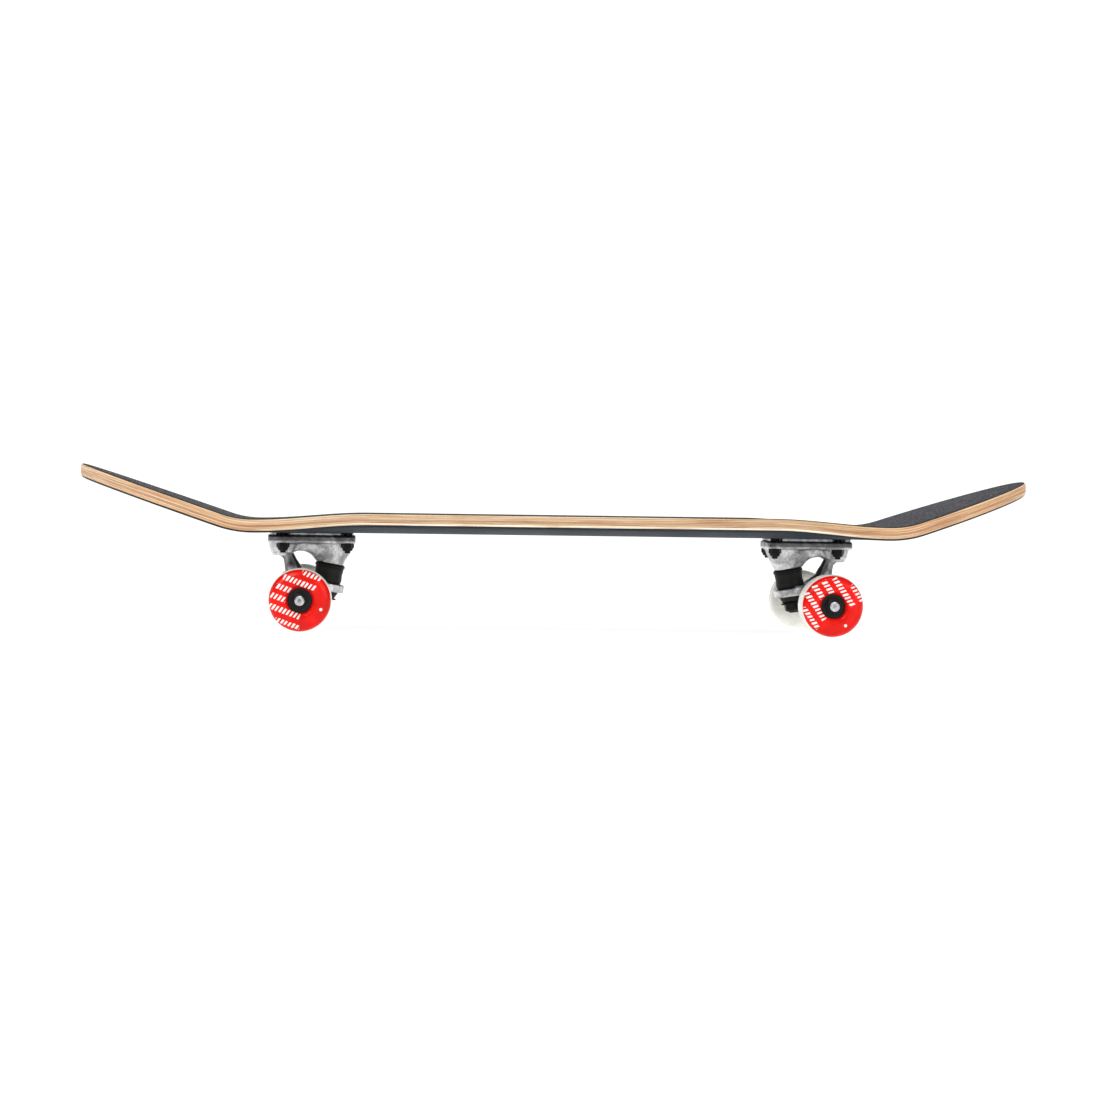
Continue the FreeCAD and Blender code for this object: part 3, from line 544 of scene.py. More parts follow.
# steering geometry of the castings, in millimetres in the truck's frame
AXLE_Z = 26.0
TILT = math.radians(10.0)
KING = np.array([-math.sin(TILT), 0.0, -math.cos(TILT)])
SEAT = np.array([23.8, 0.0, 54.6])
RING = SEAT + KING * 19.9
PIVOT = np.array([-17.0, 0.0, 66.0])
STEER = (PIVOT - RING) / np.linalg.norm(PIVOT - RING)
BELLY = 80.7
RIM_LOW, RIM_HIGH = BELLY - 9.0, BELLY - 2.6
HOLE_MID, HOLE_X, HOLE_Y = 11.1, 53.975 / 2, 41.275 / 2
HANGER_FACE = 66.5
RING_R, RING_HALF_T, BUSHING_SINK, CUTTER_HALF = 15.0, 3.4, 1.4, 10.0
NECK_TOP, NECK_MIDDLE = np.array([-11.6, 0, 61.0]), np.array([-7.4, 0, 50.5])
ARCH, ARCH_R = np.array([-2.7, 0, 49.1]), 15.7
MOUTH, MOUTH_R = np.array([0.5, 0, 50.3]), 15.0


def hanger_field(p):
    """Axle housing of varying ellipse, bushing ring and web, pivot arm and nose, less the bores."""
    y = np.abs(p[..., 1])
    table = np.array([(0, 1.2, 31.5, 12.4, 14.0), (10, 1.1, 31.3, 12.4, 13.7), (22, 0.8, 30.0, 11.6, 12.2),
                      (34, 0.4, 28.2, 10.2, 10.4), (50, 0.0, 26.5, 8.5, 8.5), (70, 0.0, 26.0, 6.9, 6.9)])
    middle, centre_z, half_x, half_z = (np.interp(y, table[:, 0], table[:, k]) for k in range(1, 5))
    ratio = np.sqrt(((p[..., 0] - middle) / half_x) ** 2 + ((p[..., 2] - centre_z) / half_z) ** 2)
    arm = (ratio - 1) * np.minimum(half_x, half_z)
    shape = -blend_union(-arm, -(y - HANGER_FACE), 1.4)
    ring = drum(p, RING, KING, RING_R, RING_HALF_T, 1.0)
    web = block(p, (9.0, 0, RING[2] + 0.6), (11.0, 12.5, 3.2), 1.5, -TILT)
    shape = blend_union(shape, blend_union(ring, web, 3.0), 4.0)
    shape = blend_union(shape, capsule(p, NECK_MIDDLE - (0.5, 0, 0), (-3.0, 0, 40.0), 6.2, 8.0), 5.0)
    shape = blend_union(shape, capsule(p, NECK_TOP, NECK_MIDDLE - (0.5, 0, 0), 4.8, 6.2), 2.5)
    shape = blend_union(shape, capsule(p, (-3.0, 0, 44.0), (11.0, 0, 37.5), 3.2, 3.2), 5.0)
    shape = blend_union(shape, drum(p, PIVOT - STEER * 2.2, STEER, 5.2, 6.4, 1.6), 0.6)
    sink = RING_HALF_T - BUSHING_SINK + CUTTER_HALF
    for along, radius, half in ((0, 7.6, 14), (-sink, 11.9, CUTTER_HALF), (sink, 10.8, CUTTER_HALF),
                                (RING_HALF_T + CUTTER_HALF, 12.8, CUTTER_HALF)):
        shape = blend_cut(shape, drum(p, RING + KING * along, KING, radius, half), 0.5)
    return blend_cut(shape, drum(p, (0, 0, AXLE_Z), (0, 1, 0), 3.98, 90), 0.3)


def hanger_painted_shade(p):
    """Painted shade on the neck: dark flanks by the distance in x from the neck's line, and a darker upper
    face, between its foot and its top.
    """
    line = np.interp(p[:, 2], [NECK_MIDDLE[2], NECK_TOP[2]], [NECK_MIDDLE[0], NECK_TOP[0]])
    across = p[:, 0] - line
    flank = np.maximum(smooth(across, 2.0, 3.8), 0.8 * smooth(-across, 3.2, 4.6))
    face = 0.62 * smooth(p[:, 2], 44.0, 52.0)
    return np.maximum(flank, face) * smooth(p[:, 2], 42.0, 47.0) * (np.abs(p[:, 1]) < 12)


def baseplate_field(p):
    """Flange of two layers, pivot housing, arched web and kingpin body, less bores and nut seats."""
    rim = plate(p, -28.5, 44.5, 28.0, RIM_LOW, RIM_HIGH, 9.0, 1.5)
    cap = plate(p, -26.9, 42.9, 26.4, BELLY - 3.4, BELLY, 7.4, 0.35)
    housing = tower(p, [(60.8, -16.2, 8.0, 10.2), (63.5, -16.0, 10.4, 12.4), (70.0, -15.3, 12.8, 13.8),
                        (78.0, -14.6, 13.9, 15.5)])
    body = tower(p, [(48.0, 23.3, 11.0, 11.8), (54.6, 23.8, 11.5, 12.2), (60.0, 23.4, 15.0, 13.6),
                     (66.0, 22.2, 19.2, 16.0), (72.0, 22.0, 21.6, 18.6), (78.0, 22.0, 22.0, 21.0)])
    body = -blend_union(-body, -((p - SEAT) @ KING), 1.0)
    web = block(p, (4.0, 0, 70.0), (22.0, 8.5, 5.6), 1.5)
    span = blend_cut(blend_union(body, web, 4.0), drum(p, ARCH, (0, 1, 0), ARCH_R, 30), 1.6)
    shape = blend_union(blend_cut(housing, drum(p, MOUTH, (0, 1, 0), MOUTH_R, 30), 1.6), span, 2.0)
    shape = blend_union(shape, rim, 2.2)
    shape = blend_union(shape, cap, 0.5)
    for centre, axis, radius, half, soft in ((SEAT - KING * 10, KING, 4.9, 40, 0.3),
                                             (SEAT - KING * 32, KING, 8.2, 15, 0.4),
                                             (PIVOT - STEER * 8.5, STEER, 7.6, 15, 0.8)):
        shape = blend_cut(shape, drum(p, centre, axis, radius, half), soft)
    q = np.stack([p[..., 0], np.abs(p[..., 1]), p[..., 2]], axis=-1)
    for x in (HOLE_MID - HOLE_X, HOLE_MID + HOLE_X):
        for y, z, radius, half, rim_r, soft in ((0, 75, 2.6, 30, 0, 0.3),
                                                (0, RIM_LOW - 6, 6.5, 6.02, 0.6, 0.8),
                                                (4.6, BELLY + 7.4, 5.6, 10, 0, 0.6)):
            shape = blend_cut(shape, drum(q, (x, HOLE_Y + y, z), (0, 0, 1), radius, half, rim_r), soft)
    return np.maximum(shape, p[..., 2] - BELLY)


def baseplate_painted_shade(p):
    """Painted shade: a dark band round the flange's edge, above its lowest part."""
    out = rounded(np.abs(p[:, :2] - np.array([8.0, 0.0])) - np.array([27.5, 19.0]), 9.0)
    return 0.8 * smooth(out, -1.8, -0.5) * smooth(p[:, 2], RIM_LOW + 0.9, RIM_LOW + 2.6)


def cup_field(p):
    """The pivot cup: a sleeve round the pivot nose, trimmed to the housing's mouth."""
    outside = drum(p, PIVOT + STEER * 0.2, STEER, 7.5, 6.2, 0.4)
    inside = drum(p, PIVOT - STEER * 2, STEER, 5.3, 6.6)
    trim = np.maximum(63.0 - p[..., 2], MOUTH_R + 0.4 - length((p - MOUTH) * np.array([1, 0, 1])))
    return np.maximum(np.maximum(outside, -inside), trim)


def casting(name, points, faces, painted_shade, word, end):
    """One casting on the board, from a mesh in the truck's frame."""
    # the attribute carries each point's painted shade to the cast metal's finish
    made = piece("%s_%s" % (name, word), to_board(points, word, end), faces, {"painted_shade": painted_shade}, merge=False,
                 sharp=math.radians(48))
    return outward(made)


# --- turned parts ----------------------------------------------------------------------------------
def turned_part(name, corners, end_word, end, steps=6):
    """A part of revolution about the kingpin from corners (radius, height from its seat, rounding)."""
    profile = rounded_line(corners, steps)
    points = turned_points(profile, BUSHING_STEPS, SEAT, KING, (0, 1, 0))
    return outward(piece(name, to_board(points, end_word, end), turned_faces(BUSHING_STEPS, len(profile)),
                         sharp=math.radians(40)))


BUSHING_TOP = [(4.95, 1.6, 0.3), (11.4, 1.6, 0.9), (12.0, 4.0, 3.0), (11.5, 8.5, 4.0), (11.9, 13.0, 3.0),
               (11.0, 17.8, 1.2), (4.95, 17.8, 0.3)]
BUSHING_BOTTOM = [(4.95, 22.0, 0.3), (10.7, 22.0, 0.8), (10.7, 24.2, 0.8), (8.8, 28.0, 1.4), (8.2, 28.9, 0.5),
                  (4.95, 28.9, 0.3)]
WASHER_TOP = [(4.95, 0.0, 0.1), (11.6, 0.0, 0.9), (12.6, 1.1, 0.8), (12.6, 3.2, 0.5), (12.2, 3.2, 0.3),
              (12.0, 1.6, 0.4), (4.95, 1.6, 0.1)]
WASHER_BOTTOM = [(4.95, 28.9, 0.1), (10.0, 28.9, 0.3), (10.0, 30.2, 0.3), (4.95, 30.2, 0.1)]

WHEEL_SECTION = [(7.6, -5.0, 0.2), (7.6, 5.0, 0.2), (11.0, 5.0, 0.1), (11.0, 12.15, 0.1),
                 (10.2, 12.25, 0.15), (10.2, 13.0, 0.3), (11.4, 14.4, 0.6),
                 (12.8, 15.2, 1.6), (15.0, 15.5, 3.0), (20.0, 15.4, 4.0), (23.6, 13.6, 5.0),
                 (25.5, 10.2, 4.0), (26.0, 8.0, 3.0), (26.0, -8.0, 3.0), (25.5, -10.2, 4.0),
                 (23.6, -13.6, 5.0), (20.0, -15.4, 4.0), (15.0, -15.5, 3.0), (12.8, -15.2, 1.6),
                 (11.4, -14.0, 0.6), (11.0, -12.0, 0.1), (11.0, -5.0, 0.1)]


def wheel_piece(wheels, end_word, hand, outer_side, turn):
    """A wheel: its section is carried round the axle, and each point keeps its place on the face, in wheel
    radii, as the UV map, turned so that the printed marks stand at their own angle."""
    low, high = box_of("wheel_%s_%s" % (end_word, hand))
    centre = (low + high) / 2
    profile = rounded_line(WHEEL_SECTION, 7) * MM
    points = turned_points(profile, wheels.segments, centre, (0, outer_side, 0), (1, 0, 0))
    local = points - centre
    across = local[:, 0] * -outer_side / WHEEL_R
    up = local[:, 2] / WHEEL_R
    c, s = math.cos(turn), math.sin(turn)
    uv = np.stack([across * c + up * s, -across * s + up * c], axis=1)
    side = local[:, 1] * outer_side
    return outward(piece("tyre_%s_%s" % (end_word, hand), points, turned_faces(wheels.segments, len(profile)),
                         {"outer": side / WHEEL_HALF_WIDTH}, uv=uv, sharp=math.radians(40)))


# --- materials ----------------------------------------------------------------------------------------
# the print's rows of marks from the lowest up: start and end across the face in radii, and their height
ROW_PITCH = 0.332
ROWS = [(-0.52, 0.28, 0.8), (-0.90, 0.16, 1.0), (-0.92, -0.43, 1.0), (-0.86, -0.33, 1.0), (-0.74, 0.32, 1.0),
        (-0.25, 0.38, 0.85)]


class Finish:
    """A node material under construction: add nodes, wire sockets, and read the surface shader."""

    def __init__(self, name):
        self.material = bpy.data.materials.new(name)
        self.material.use_nodes = True
        self.tree = self.material.node_tree
        self.surface = self.tree.nodes["Principled BSDF"]

    def add(self, kind, inputs=None, **settings):
        node = self.tree.nodes.new("ShaderNode" + kind)
        for key, value in settings.items():
            setattr(node, key, value)
        for key, value in (inputs or {}).items():
            self.put(node.inputs[key], value)
        return node

    def put(self, socket, value):
        if isinstance(value, bpy.types.NodeSocket):
            self.tree.links.new(value, socket)
        elif hasattr(value, "__len__") and len(value) == 3 and socket.type == "RGBA":
            socket.default_value = (*value, 1.0)
        else:
            socket.default_value = value

    def set(self, **values):
        for key, value in values.items():
            self.put(self.surface.inputs[key.replace("_", " ")], value)

    def place(self, scale=(1, 1, 1), turn=(0, 0, 0)):
        """Object coordinates, stretched by scale."""
        source = self.add("TexCoord").outputs["Object"]
        mapping = self.add("Mapping", {"Vector": source, "Scale": scale, "Rotation": turn})
        return mapping.outputs["Vector"]

    def noise(self, vector, scale, detail=4.0, rough=0.55, distortion=0.0):
        return self.add("TexNoise", {"Vector": vector, "Scale": scale, "Detail": detail, "Roughness": rough,
                                     "Distortion": distortion}).outputs["Fac"]

    def math(self, operation, a, b=0.5, c=0.5, clamp=False):
        node = self.add("Math", operation=operation, use_clamp=clamp)
        for socket, value in zip(node.inputs, (a, b, c)):
            self.put(socket, value)
        return node.outputs[0]

    def band(self, value, low, high, out_low=0.0, out_high=1.0):
        """value mapped smoothly from low..high to out_low..out_high."""
        return self.add("MapRange", {"Value": value, "From Min": low, "From Max": high, "To Min": out_low,
                                     "To Max": out_high}, interpolation_type="SMOOTHSTEP").outputs["Result"]

    def mix(self, share, a, b, blend="MIX"):
        node = self.add("Mix", data_type="RGBA", blend_type=blend)
        self.put(node.inputs["Factor"], share)
        self.put(node.inputs[6], a)
        self.put(node.inputs[7], b)
        return node.outputs[2]

    def bump(self, height, strength, distance, normal=None):
        inputs = {"Height": height, "Strength": strength, "Distance": distance}
        if normal is not None:
            inputs["Normal"] = normal
        return self.add("Bump", inputs).outputs["Normal"]

    def attribute(self, name):
        return self.add("Attribute", attribute_name=name).outputs["Fac"]


def shade(colour, factor):
    return tuple(min(1.0, channel * factor) for channel in colour)


def wood_finish(name, colour, seed, kick_colour, glue=0.55):
    """Veneer seen on its edge: streaks that run with the layer, from noise over length, width and the share
    of the layer's thickness; pores; darker glue lines at both faces; kick_colour takes over on the kicks."""
    f = Finish(name)
    at = f.add("SeparateXYZ", {"Vector": f.place()})
    share = f.attribute("share")

    def along_grain(pitch, layers):
        vector = f.add("CombineXYZ", {"X": f.math("MULTIPLY", at.outputs["X"], pitch),
                                      "Y": f.math("MULTIPLY", at.outputs["Y"], pitch),
                                      "Z": f.math("MULTIPLY_ADD", share, layers, seed)})
        return vector.outputs["Vector"]

    reach = f.math("ABSOLUTE", f.math("SUBTRACT", at.outputs["X"], 0.003))
    colour_here = f.mix(f.band(reach, 0.20, 0.29), colour, kick_colour)
    streaks = f.noise(along_grain(26.0, 2.2), 1.0, 5.0, 0.6, 0.3)
    fine = f.noise(along_grain(170.0, 7.0), 1.0, 4.0, 0.62)
    broad = f.noise(along_grain(7.0, 1.0), 1.0, 3.0, 0.5)
    tone = f.mix(f.band(streaks, 0.38, 0.58, 0.9, 0.0), colour_here, (0.60, 0.43, 0.32), "MULTIPLY")
    tone = f.mix(f.band(fine, 0.44, 0.72, 0.0, 0.55), tone, (0.62, 0.50, 0.42), "MULTIPLY")
    tone = f.mix(f.band(broad, 0.45, 0.65, 0.0, 0.22), tone, (1.0, 0.90, 0.78), "SCREEN")
    from_face = f.math("MINIMUM", share, f.math("SUBTRACT", 1.0, share))
    tone = f.mix(f.band(from_face, 0.0, 0.18, glue, 0.0), tone, (0.55, 0.42, 0.34), "MULTIPLY")
    f.set(Base_Color=tone, Roughness=f.band(fine, 0.3, 0.7, 0.42, 0.58), Specular_IOR_Level=0.25)
    height = f.math("ADD", f.math("MULTIPLY", streaks, 0.6), f.math("MULTIPLY", fine, 0.4))
    f.set(Normal=f.bump(height, 0.35, 0.0002))
    return f.material


def bottom_finish(colour):
    """Dark lacquer over the lowest veneer: grain shows faintly, with soft scuffs and a low gloss."""
    f = Finish("dark_lacquer")
    grain = f.noise(f.place((2.5, 70.0, 40.0)), 9.0, 6.0, 0.6, 0.3)
    cloud = f.noise(f.place((1, 1, 1)), 9.0, 4.0, 0.6)
    scuff = f.noise(f.place((16.0, 60.0, 30.0)), 12.0, 5.0, 0.7)
    tone = f.mix(f.band(grain, 0.35, 0.7), shade(colour, 0.75), shade(colour, 1.7))
    tone = f.mix(f.band(cloud, 0.4, 0.7, 0.0, 0.4), tone, shade(colour, 1.9))
    tone = f.mix(f.band(scuff, 0.66, 0.78, 0.0, 0.35), tone, (0.10, 0.10, 0.11))
    f.set(Base_Color=tone, Roughness=f.band(cloud, 0.3, 0.7, 0.5, 0.66), Specular_IOR_Level=0.05)
    f.set(Normal=f.bump(grain, 0.25, 0.0002))
    return f.material


def grip_finish(colour):
    """Abrasive sheet: packed mineral grains whose brightest few carry painted glints, mottling in two sizes
    and a darker rim.
    """
    f = Finish("grip_grit")
    place = f.place()
    grains = f.add("TexVoronoi", {"Vector": place, "Scale": 1500.0, "Randomness": 1.0}, feature="F1")
    facet = f.add("SeparateColor", {"Color": grains.outputs["Color"]}).outputs["Red"]
    coarse = f.add("TexVoronoi", {"Vector": place, "Scale": 420.0, "Randomness": 1.0}, feature="F1")
    clump = f.add("SeparateColor", {"Color": coarse.outputs["Color"]}).outputs["Green"]
    patch = f.noise(place, 14.0, 5.0, 0.6)
    speck = f.noise(place, 260.0, 3.0, 0.6)
    tone = f.mix(f.band(facet, 0.1, 1.0), shade(colour, 0.55), shade(colour, 1.55))
    # painted glints: the brightest few grains get a light grey that stands in for sparkle
    tone = f.mix(f.band(facet, 0.93, 0.97, 0.0, 0.8), tone, (0.30, 0.31, 0.34))
    tone = f.mix(f.band(clump, 0.30, 0.0, 0.0, 0.7), tone, shade(colour, 0.25))
    pale = tuple(channel * factor for channel, factor in zip(colour, (4.6, 4.0, 3.2)))
    tone = f.mix(f.band(clump, 0.78, 0.90, 0.0, 0.7), tone, pale)
    tone = f.mix(f.band(patch, 0.42, 0.72, 0.0, 0.5), tone, shade(colour, 2.2))
    tone = f.mix(f.band(speck, 0.45, 0.66, 0.0, 0.6), tone, shade(colour, 0.35))
    tone = f.mix(f.band(f.attribute("rim"), 0.78, 0.97, 0.0, 0.75), tone, shade(colour, 0.3))
    f.set(Base_Color=tone, Roughness=f.band(facet, 0.0, 1.0, 0.95, 0.6), Specular_IOR_Level=0.4)
    height = f.math("SUBTRACT", 1.0, f.math("MULTIPLY", grains.outputs["Distance"], 1200.0))
    f.set(Normal=f.bump(height, 0.8, 0.00025))
    return f.material


def cast_finish(colour):
    """Tumbled cast aluminium: mottled grey, fine pitting, brighter burnished patches."""
    f = Finish("cast_metal")
    place = f.place()
    cloud = f.noise(place, 75.0, 5.0, 0.62, 0.4)
    pits = f.noise(place, 900.0, 3.0, 0.6)
    burnish = f.noise(place, 210.0, 4.0, 0.6, 0.6)
    tone = f.mix(f.band(cloud, 0.36, 0.66), shade(colour, 0.55), shade(colour, 1.55))
    tone = f.mix(f.band(burnish, 0.36, 0.62, 0.5, 0.0), tone, shade(colour, 0.42))
    tone = f.mix(f.band(pits, 0.52, 0.75, 0.0, 0.45), tone, shade(colour, 0.4))
    # painted shade: the attribute from the castings darkens the hanger's neck and the flange's band to near
    # black, broken up by noise
    edge = f.noise(place, 300.0, 3.0, 0.6)
    painted_shade = f.math("MULTIPLY", f.attribute("painted_shade"), f.band(edge, 0.2, 0.5, 0.75, 1.0), clamp=True)
    tone = f.mix(painted_shade, tone, (0.055, 0.050, 0.047))
    rough = f.math("ADD", f.band(burnish, 0.3, 0.7, 0.26, 0.46), f.band(pits, 0.4, 0.8, 0.0, 0.15))
    f.set(Base_Color=tone, Metallic=0.92, Roughness=rough)
    low = f.bump(burnish, 0.16, 0.0006)
    f.set(Normal=f.bump(pits, 0.3, 0.00016, low))
    return f.material


def steel_finish(name, colour, rough, metallic=1.0, scratch=0.12):
    """Plated or ground steel: fine turning marks, small stains and a varied gloss."""
    f = Finish(name)
    marks = f.noise(f.place((300.0, 2200.0, 300.0)), 1.0, 3.0, 0.6)
    stain = f.noise(f.place(), 240.0, 4.0, 0.6)
    tone = f.mix(f.band(stain, 0.35, 0.7), shade(colour, 0.78), shade(colour, 1.18))
    f.set(Base_Color=tone, Metallic=metallic,
          Roughness=f.band(stain, 0.3, 0.7, rough - 0.06, rough + 0.12))
    f.set(Normal=f.bump(marks, scratch, 0.0001))
    return f.material


def black_steel_finish(name, rough=0.36):
    """Black oxide: near black, worn to brown-grey in specks, soft gloss."""
    f = Finish(name)
    wear = f.noise(f.place(), 700.0, 4.0, 0.65)
    tone = f.mix(f.band(wear, 0.58, 0.78, 0.0, 0.5), (0.007, 0.007, 0.007), (0.06, 0.057, 0.052))
    f.set(Base_Color=tone, Metallic=0.3, Roughness=f.band(wear, 0.3, 0.7, rough, rough + 0.15),
          Specular_IOR_Level=0.2)
    f.set(Normal=f.bump(wear, 0.15, 0.0001))
    return f.material


def rubber_finish(name, colour, rough=0.5):
    """Moulded urethane or rubber: faint flow clouds, dust and a fine orange-peel."""
    f = Finish(name)
    peel = f.noise(f.place(), 1300.0, 3.0, 0.5)
    cloud = f.noise(f.place(), 90.0, 4.0, 0.6)
    tone = f.mix(f.band(cloud, 0.35, 0.7), shade(colour, 0.7), shade(colour, 1.9))
    f.set(Base_Color=tone, Roughness=f.band(cloud, 0.3, 0.7, rough - 0.08, rough + 0.12),
          Specular_IOR_Level=0.2)
    f.set(Normal=f.bump(peel, 0.12, 0.0001))
    return f.material


def nylon_finish(name, colour):
    """Plain moulded nylon with a faint grain."""
    f = Finish(name)
    grain = f.noise(f.place(), 500.0, 3.0, 0.5)
    f.set(Base_Color=f.mix(f.band(grain, 0.3, 0.7), shade(colour, 0.8), shade(colour, 1.1)), Roughness=0.5)
    f.set(Normal=f.bump(grain, 0.1, 0.0001))
    return f.material


def wheel_finish(wheels):
    """Urethane with a glossy printed outer face. The print is red out to its radius, with rows of plain
    slanted ticks on one side of the hub: rows by height, and ticks by a slanted sawtooth along the row."""
    f = Finish("printed_urethane")
    uv = f.add("UVMap", uv_map="face").outputs["UV"]
    split = f.add("SeparateXYZ", {"Vector": uv})
    u, v = split.outputs["X"], split.outputs["Y"]
    ragged = f.noise(uv, 9.0, 3.0, 0.6)
    wobble = f.math("MULTIPLY", f.math("SUBTRACT", ragged, 0.5), 0.06)
    radius = f.math("SQRT", f.math("ADD", f.math("MULTIPLY", u, u), f.math("MULTIPLY", v, v)))
    outer = f.attribute("outer")
    print_limit = wheels.print_radius / WHEEL_R
    on_print = f.math("MULTIPLY", f.band(radius, print_limit + 0.006, print_limit - 0.006),
                      f.band(outer, 0.45, 0.5))
    row_height = f.math("MULTIPLY", f.math("ADD", f.math("ADD", v, wobble), 0.965), 1 / ROW_PITCH)
    row = f.math("FLOOR", row_height)
    in_row = f.math("SUBTRACT", row_height, row)
    table = f.add("ValToRGB", {"Fac": f.math("DIVIDE", f.math("ADD", row, 0.5), len(ROWS))})
    table.color_ramp.interpolation = "CONSTANT"
    for number, (start, stop, height) in enumerate(ROWS):
        stops = table.color_ramp.elements
        stop_at = stops[number] if number < 2 else stops.new(number / len(ROWS))
        stop_at.position = number / len(ROWS)
        stop_at.color = ((start + 1) / 2, (stop + 1) / 2, height, 1)
    limits = f.add("SeparateColor", {"Color": table.outputs["Color"]})
    start = f.math("MULTIPLY_ADD", limits.outputs["Red"], 2.0, -1.0)
    stop = f.math("MULTIPLY_ADD", limits.outputs["Green"], 2.0, -1.0)
    slanted = f.math("MULTIPLY_ADD", in_row, -0.10, u)
    stroke_at = f.math("MULTIPLY_ADD", slanted, 8.2, f.math("MULTIPLY", row, 0.37))
    cell = f.math("FLOOR", stroke_at)
    chance = f.add("TexWhiteNoise", {"Vector": f.add("CombineXYZ", {"X": cell, "Y": row}).outputs["Vector"]},
                   noise_dimensions="2D").outputs["Value"]
    stroke = f.math("SUBTRACT", stroke_at, cell)
    low = f.math("MULTIPLY_ADD", limits.outputs["Blue"], -0.25, 0.5)
    high = f.math("MULTIPLY_ADD", limits.outputs["Blue"], 0.21, 0.5)
    row_mask = f.math("MULTIPLY", f.band(in_row, f.math("SUBTRACT", low, 0.05), low),
                      f.band(in_row, f.math("ADD", high, 0.05), high))
    stop_share = f.band(chance, 0.0, 1.0, 0.46, 0.60)
    stroke_mask = f.math("MULTIPLY", f.band(stroke, 0.0, 0.08),
                         f.band(stroke, f.math("ADD", stop_share, 0.08), stop_share))
    reach = f.math("MULTIPLY", f.band(u, start, f.math("ADD", start, 0.03)),
                   f.band(u, f.math("ADD", stop, 0.03), stop))
    marks = f.math("MULTIPLY", f.math("MULTIPLY", row_mask, stroke_mask), reach)
    dot_u = f.math("SUBTRACT", u, 0.715)
    dot_v = f.math("ADD", v, 0.03)
    dot = f.math("SQRT", f.math("ADD", f.math("MULTIPLY", dot_u, dot_u), f.math("MULTIPLY", dot_v, dot_v)))
    marks = f.math("MAXIMUM", marks, f.band(dot, 0.055, 0.04))
    cloud = f.noise(f.place(), 70.0, 4.0, 0.6)
    dirt = f.noise(f.place(), 420.0, 5.0, 0.7)
    base = f.mix(f.band(cloud, 0.3, 0.7), shade(wheels.cream, 0.86), shade(wheels.cream, 1.08))
    base = f.mix(f.band(dirt, 0.62, 0.8, 0.0, 0.3), base, (0.42, 0.38, 0.30))
    red = f.mix(f.band(cloud, 0.3, 0.7), shade(wheels.red, 0.82), shade(wheels.red, 1.1))
    printed = f.mix(marks, red, wheels.marks)
    tone = f.mix(on_print, base, printed)
    f.set(Base_Color=tone, Subsurface_Weight=f.band(on_print, 0.0, 1.0, 0.4, 0.04),
          Subsurface_Radius=(0.010, 0.009, 0.007), Subsurface_Scale=0.6)
    f.set(Roughness=f.band(on_print, 0.0, 1.0, 0.42, 0.22), Coat_Weight=0.10, Coat_Roughness=0.1)
    f.set(Specular_IOR_Level=f.band(on_print, 0.0, 1.0, 0.35, 0.12))
    f.set(Normal=f.bump(dirt, 0.06, 0.0001))
    return f.material


def paint(made, material):
    made.data.materials.clear()
    made.data.materials.append(material)
    return made


def dress(node, material):
    """Give a carried-over CAD node its material, in every slot that it has."""
    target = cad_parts[node]
    if not target.material_slots:
        target.data.materials.append(material)
    for slot in target.material_slots:
        slot.material = material


def carry(made, body, slot, *nodes):
    """Fasten a new piece to its body and hide the nodes that it stands for. The slot is not used."""
    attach(made, body)
    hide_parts(*nodes)
    return made


# --- operators ----------------------------------------------------------------------------------------
class SKATE_OT_deck(bpy.types.Operator):
    """Seven veneers with a rounded edge, drilled for the trucks"""
    bl_idname = "skate.deck"
    bl_label = "Deck veneers"

    def execute(self, context):
        deck = context.scene.skate_deck
        ply = ply_thickness()
        total = PLIES * ply + GRIP_T
        looks = {1: ("bottom_ply", bottom_finish(deck.bottom)),
                 2: ("cream_ply", wood_finish("cream_maple", deck.cream_ply, 20.0, deck.kick_maple, 0.15)),
                 4: ("red_ply", wood_finish("dyed_maple", deck.red_ply, 40.0, deck.red_ply))}
        for number in (3, 5, 6, 7):
            material = wood_finish("maple_%d" % number, deck.maple, 10.0 * number, deck.kick_maple)
            looks[number] = ("maple_ply", material)
        for number in range(1, PLIES + 1):
            low, high = (number - 1) * ply, number * ply
            rings = 26 if number in (1, PLIES) else 12
            made = deck_layer(deck, "veneer_%d" % number, low, high, total, rings)
            drill(made)
            slot, material = looks[number]
            carry(paint(made, material), "board", slot, "ply_%d" % number)
        return {"FINISHED"}


class SKATE_OT_grip(bpy.types.Operator):
    """The abrasive sheet on the deck's top, with the holes for the bolt heads in it"""
    bl_idname = "skate.grip"
    bl_label = "Grip tape"

    def execute(self, context):
        deck = context.scene.skate_deck
        ply = ply_thickness()
        total = PLIES * ply + GRIP_T
        made = deck_layer(deck, "grip_sheet", PLIES * ply, total, total, 40, wall_steps=4)
        drill(made)
        carry(paint(made, grip_finish(deck.grip)), "board", "grip_tape", "grip_tape")
        return {"FINISHED"}


class SKATE_OT_castings(bpy.types.Operator):
    """Baseplates and hangers with their cast fillets"""
    bl_idname = "skate.castings"
    bl_label = "Castings"

    def execute(self, context):
        trucks = context.scene.skate_truck
        metal, nylon = cast_finish(trucks.cast), nylon_finish("pivot_nylon", (0.02, 0.02, 0.02))
        hanger = surface_net(hanger_field, (-27, -69, 13), (38, 69, 74), trucks.cell)
        baseplate = surface_net(baseplate_field, (-31, -30, 46), (47, 30, 83), trucks.cell)
        cup = surface_net(cup_field, (-30, -9, 56), (-5, 9, 76), trucks.cell * 0.7)
        for word, end in ENDS:
            made = casting("cast_hanger", *hanger, hanger_painted_shade(hanger[0]), word, end)
            carry(paint(made, metal), "hanger_" + word, "cast_aluminium", "hanger_" + word)
            made = casting("cast_baseplate", *baseplate, baseplate_painted_shade(baseplate[0]), word, end)
            carry(paint(made, metal), "board", "cast_aluminium", "baseplate_" + word)
            made = casting("nylon_cup", *cup, np.zeros(len(cup[0])), word, end)
            carry(paint(made, nylon), "board", "pivot_plastic", "pivot_cup_" + word)
        return {"FINISHED"}


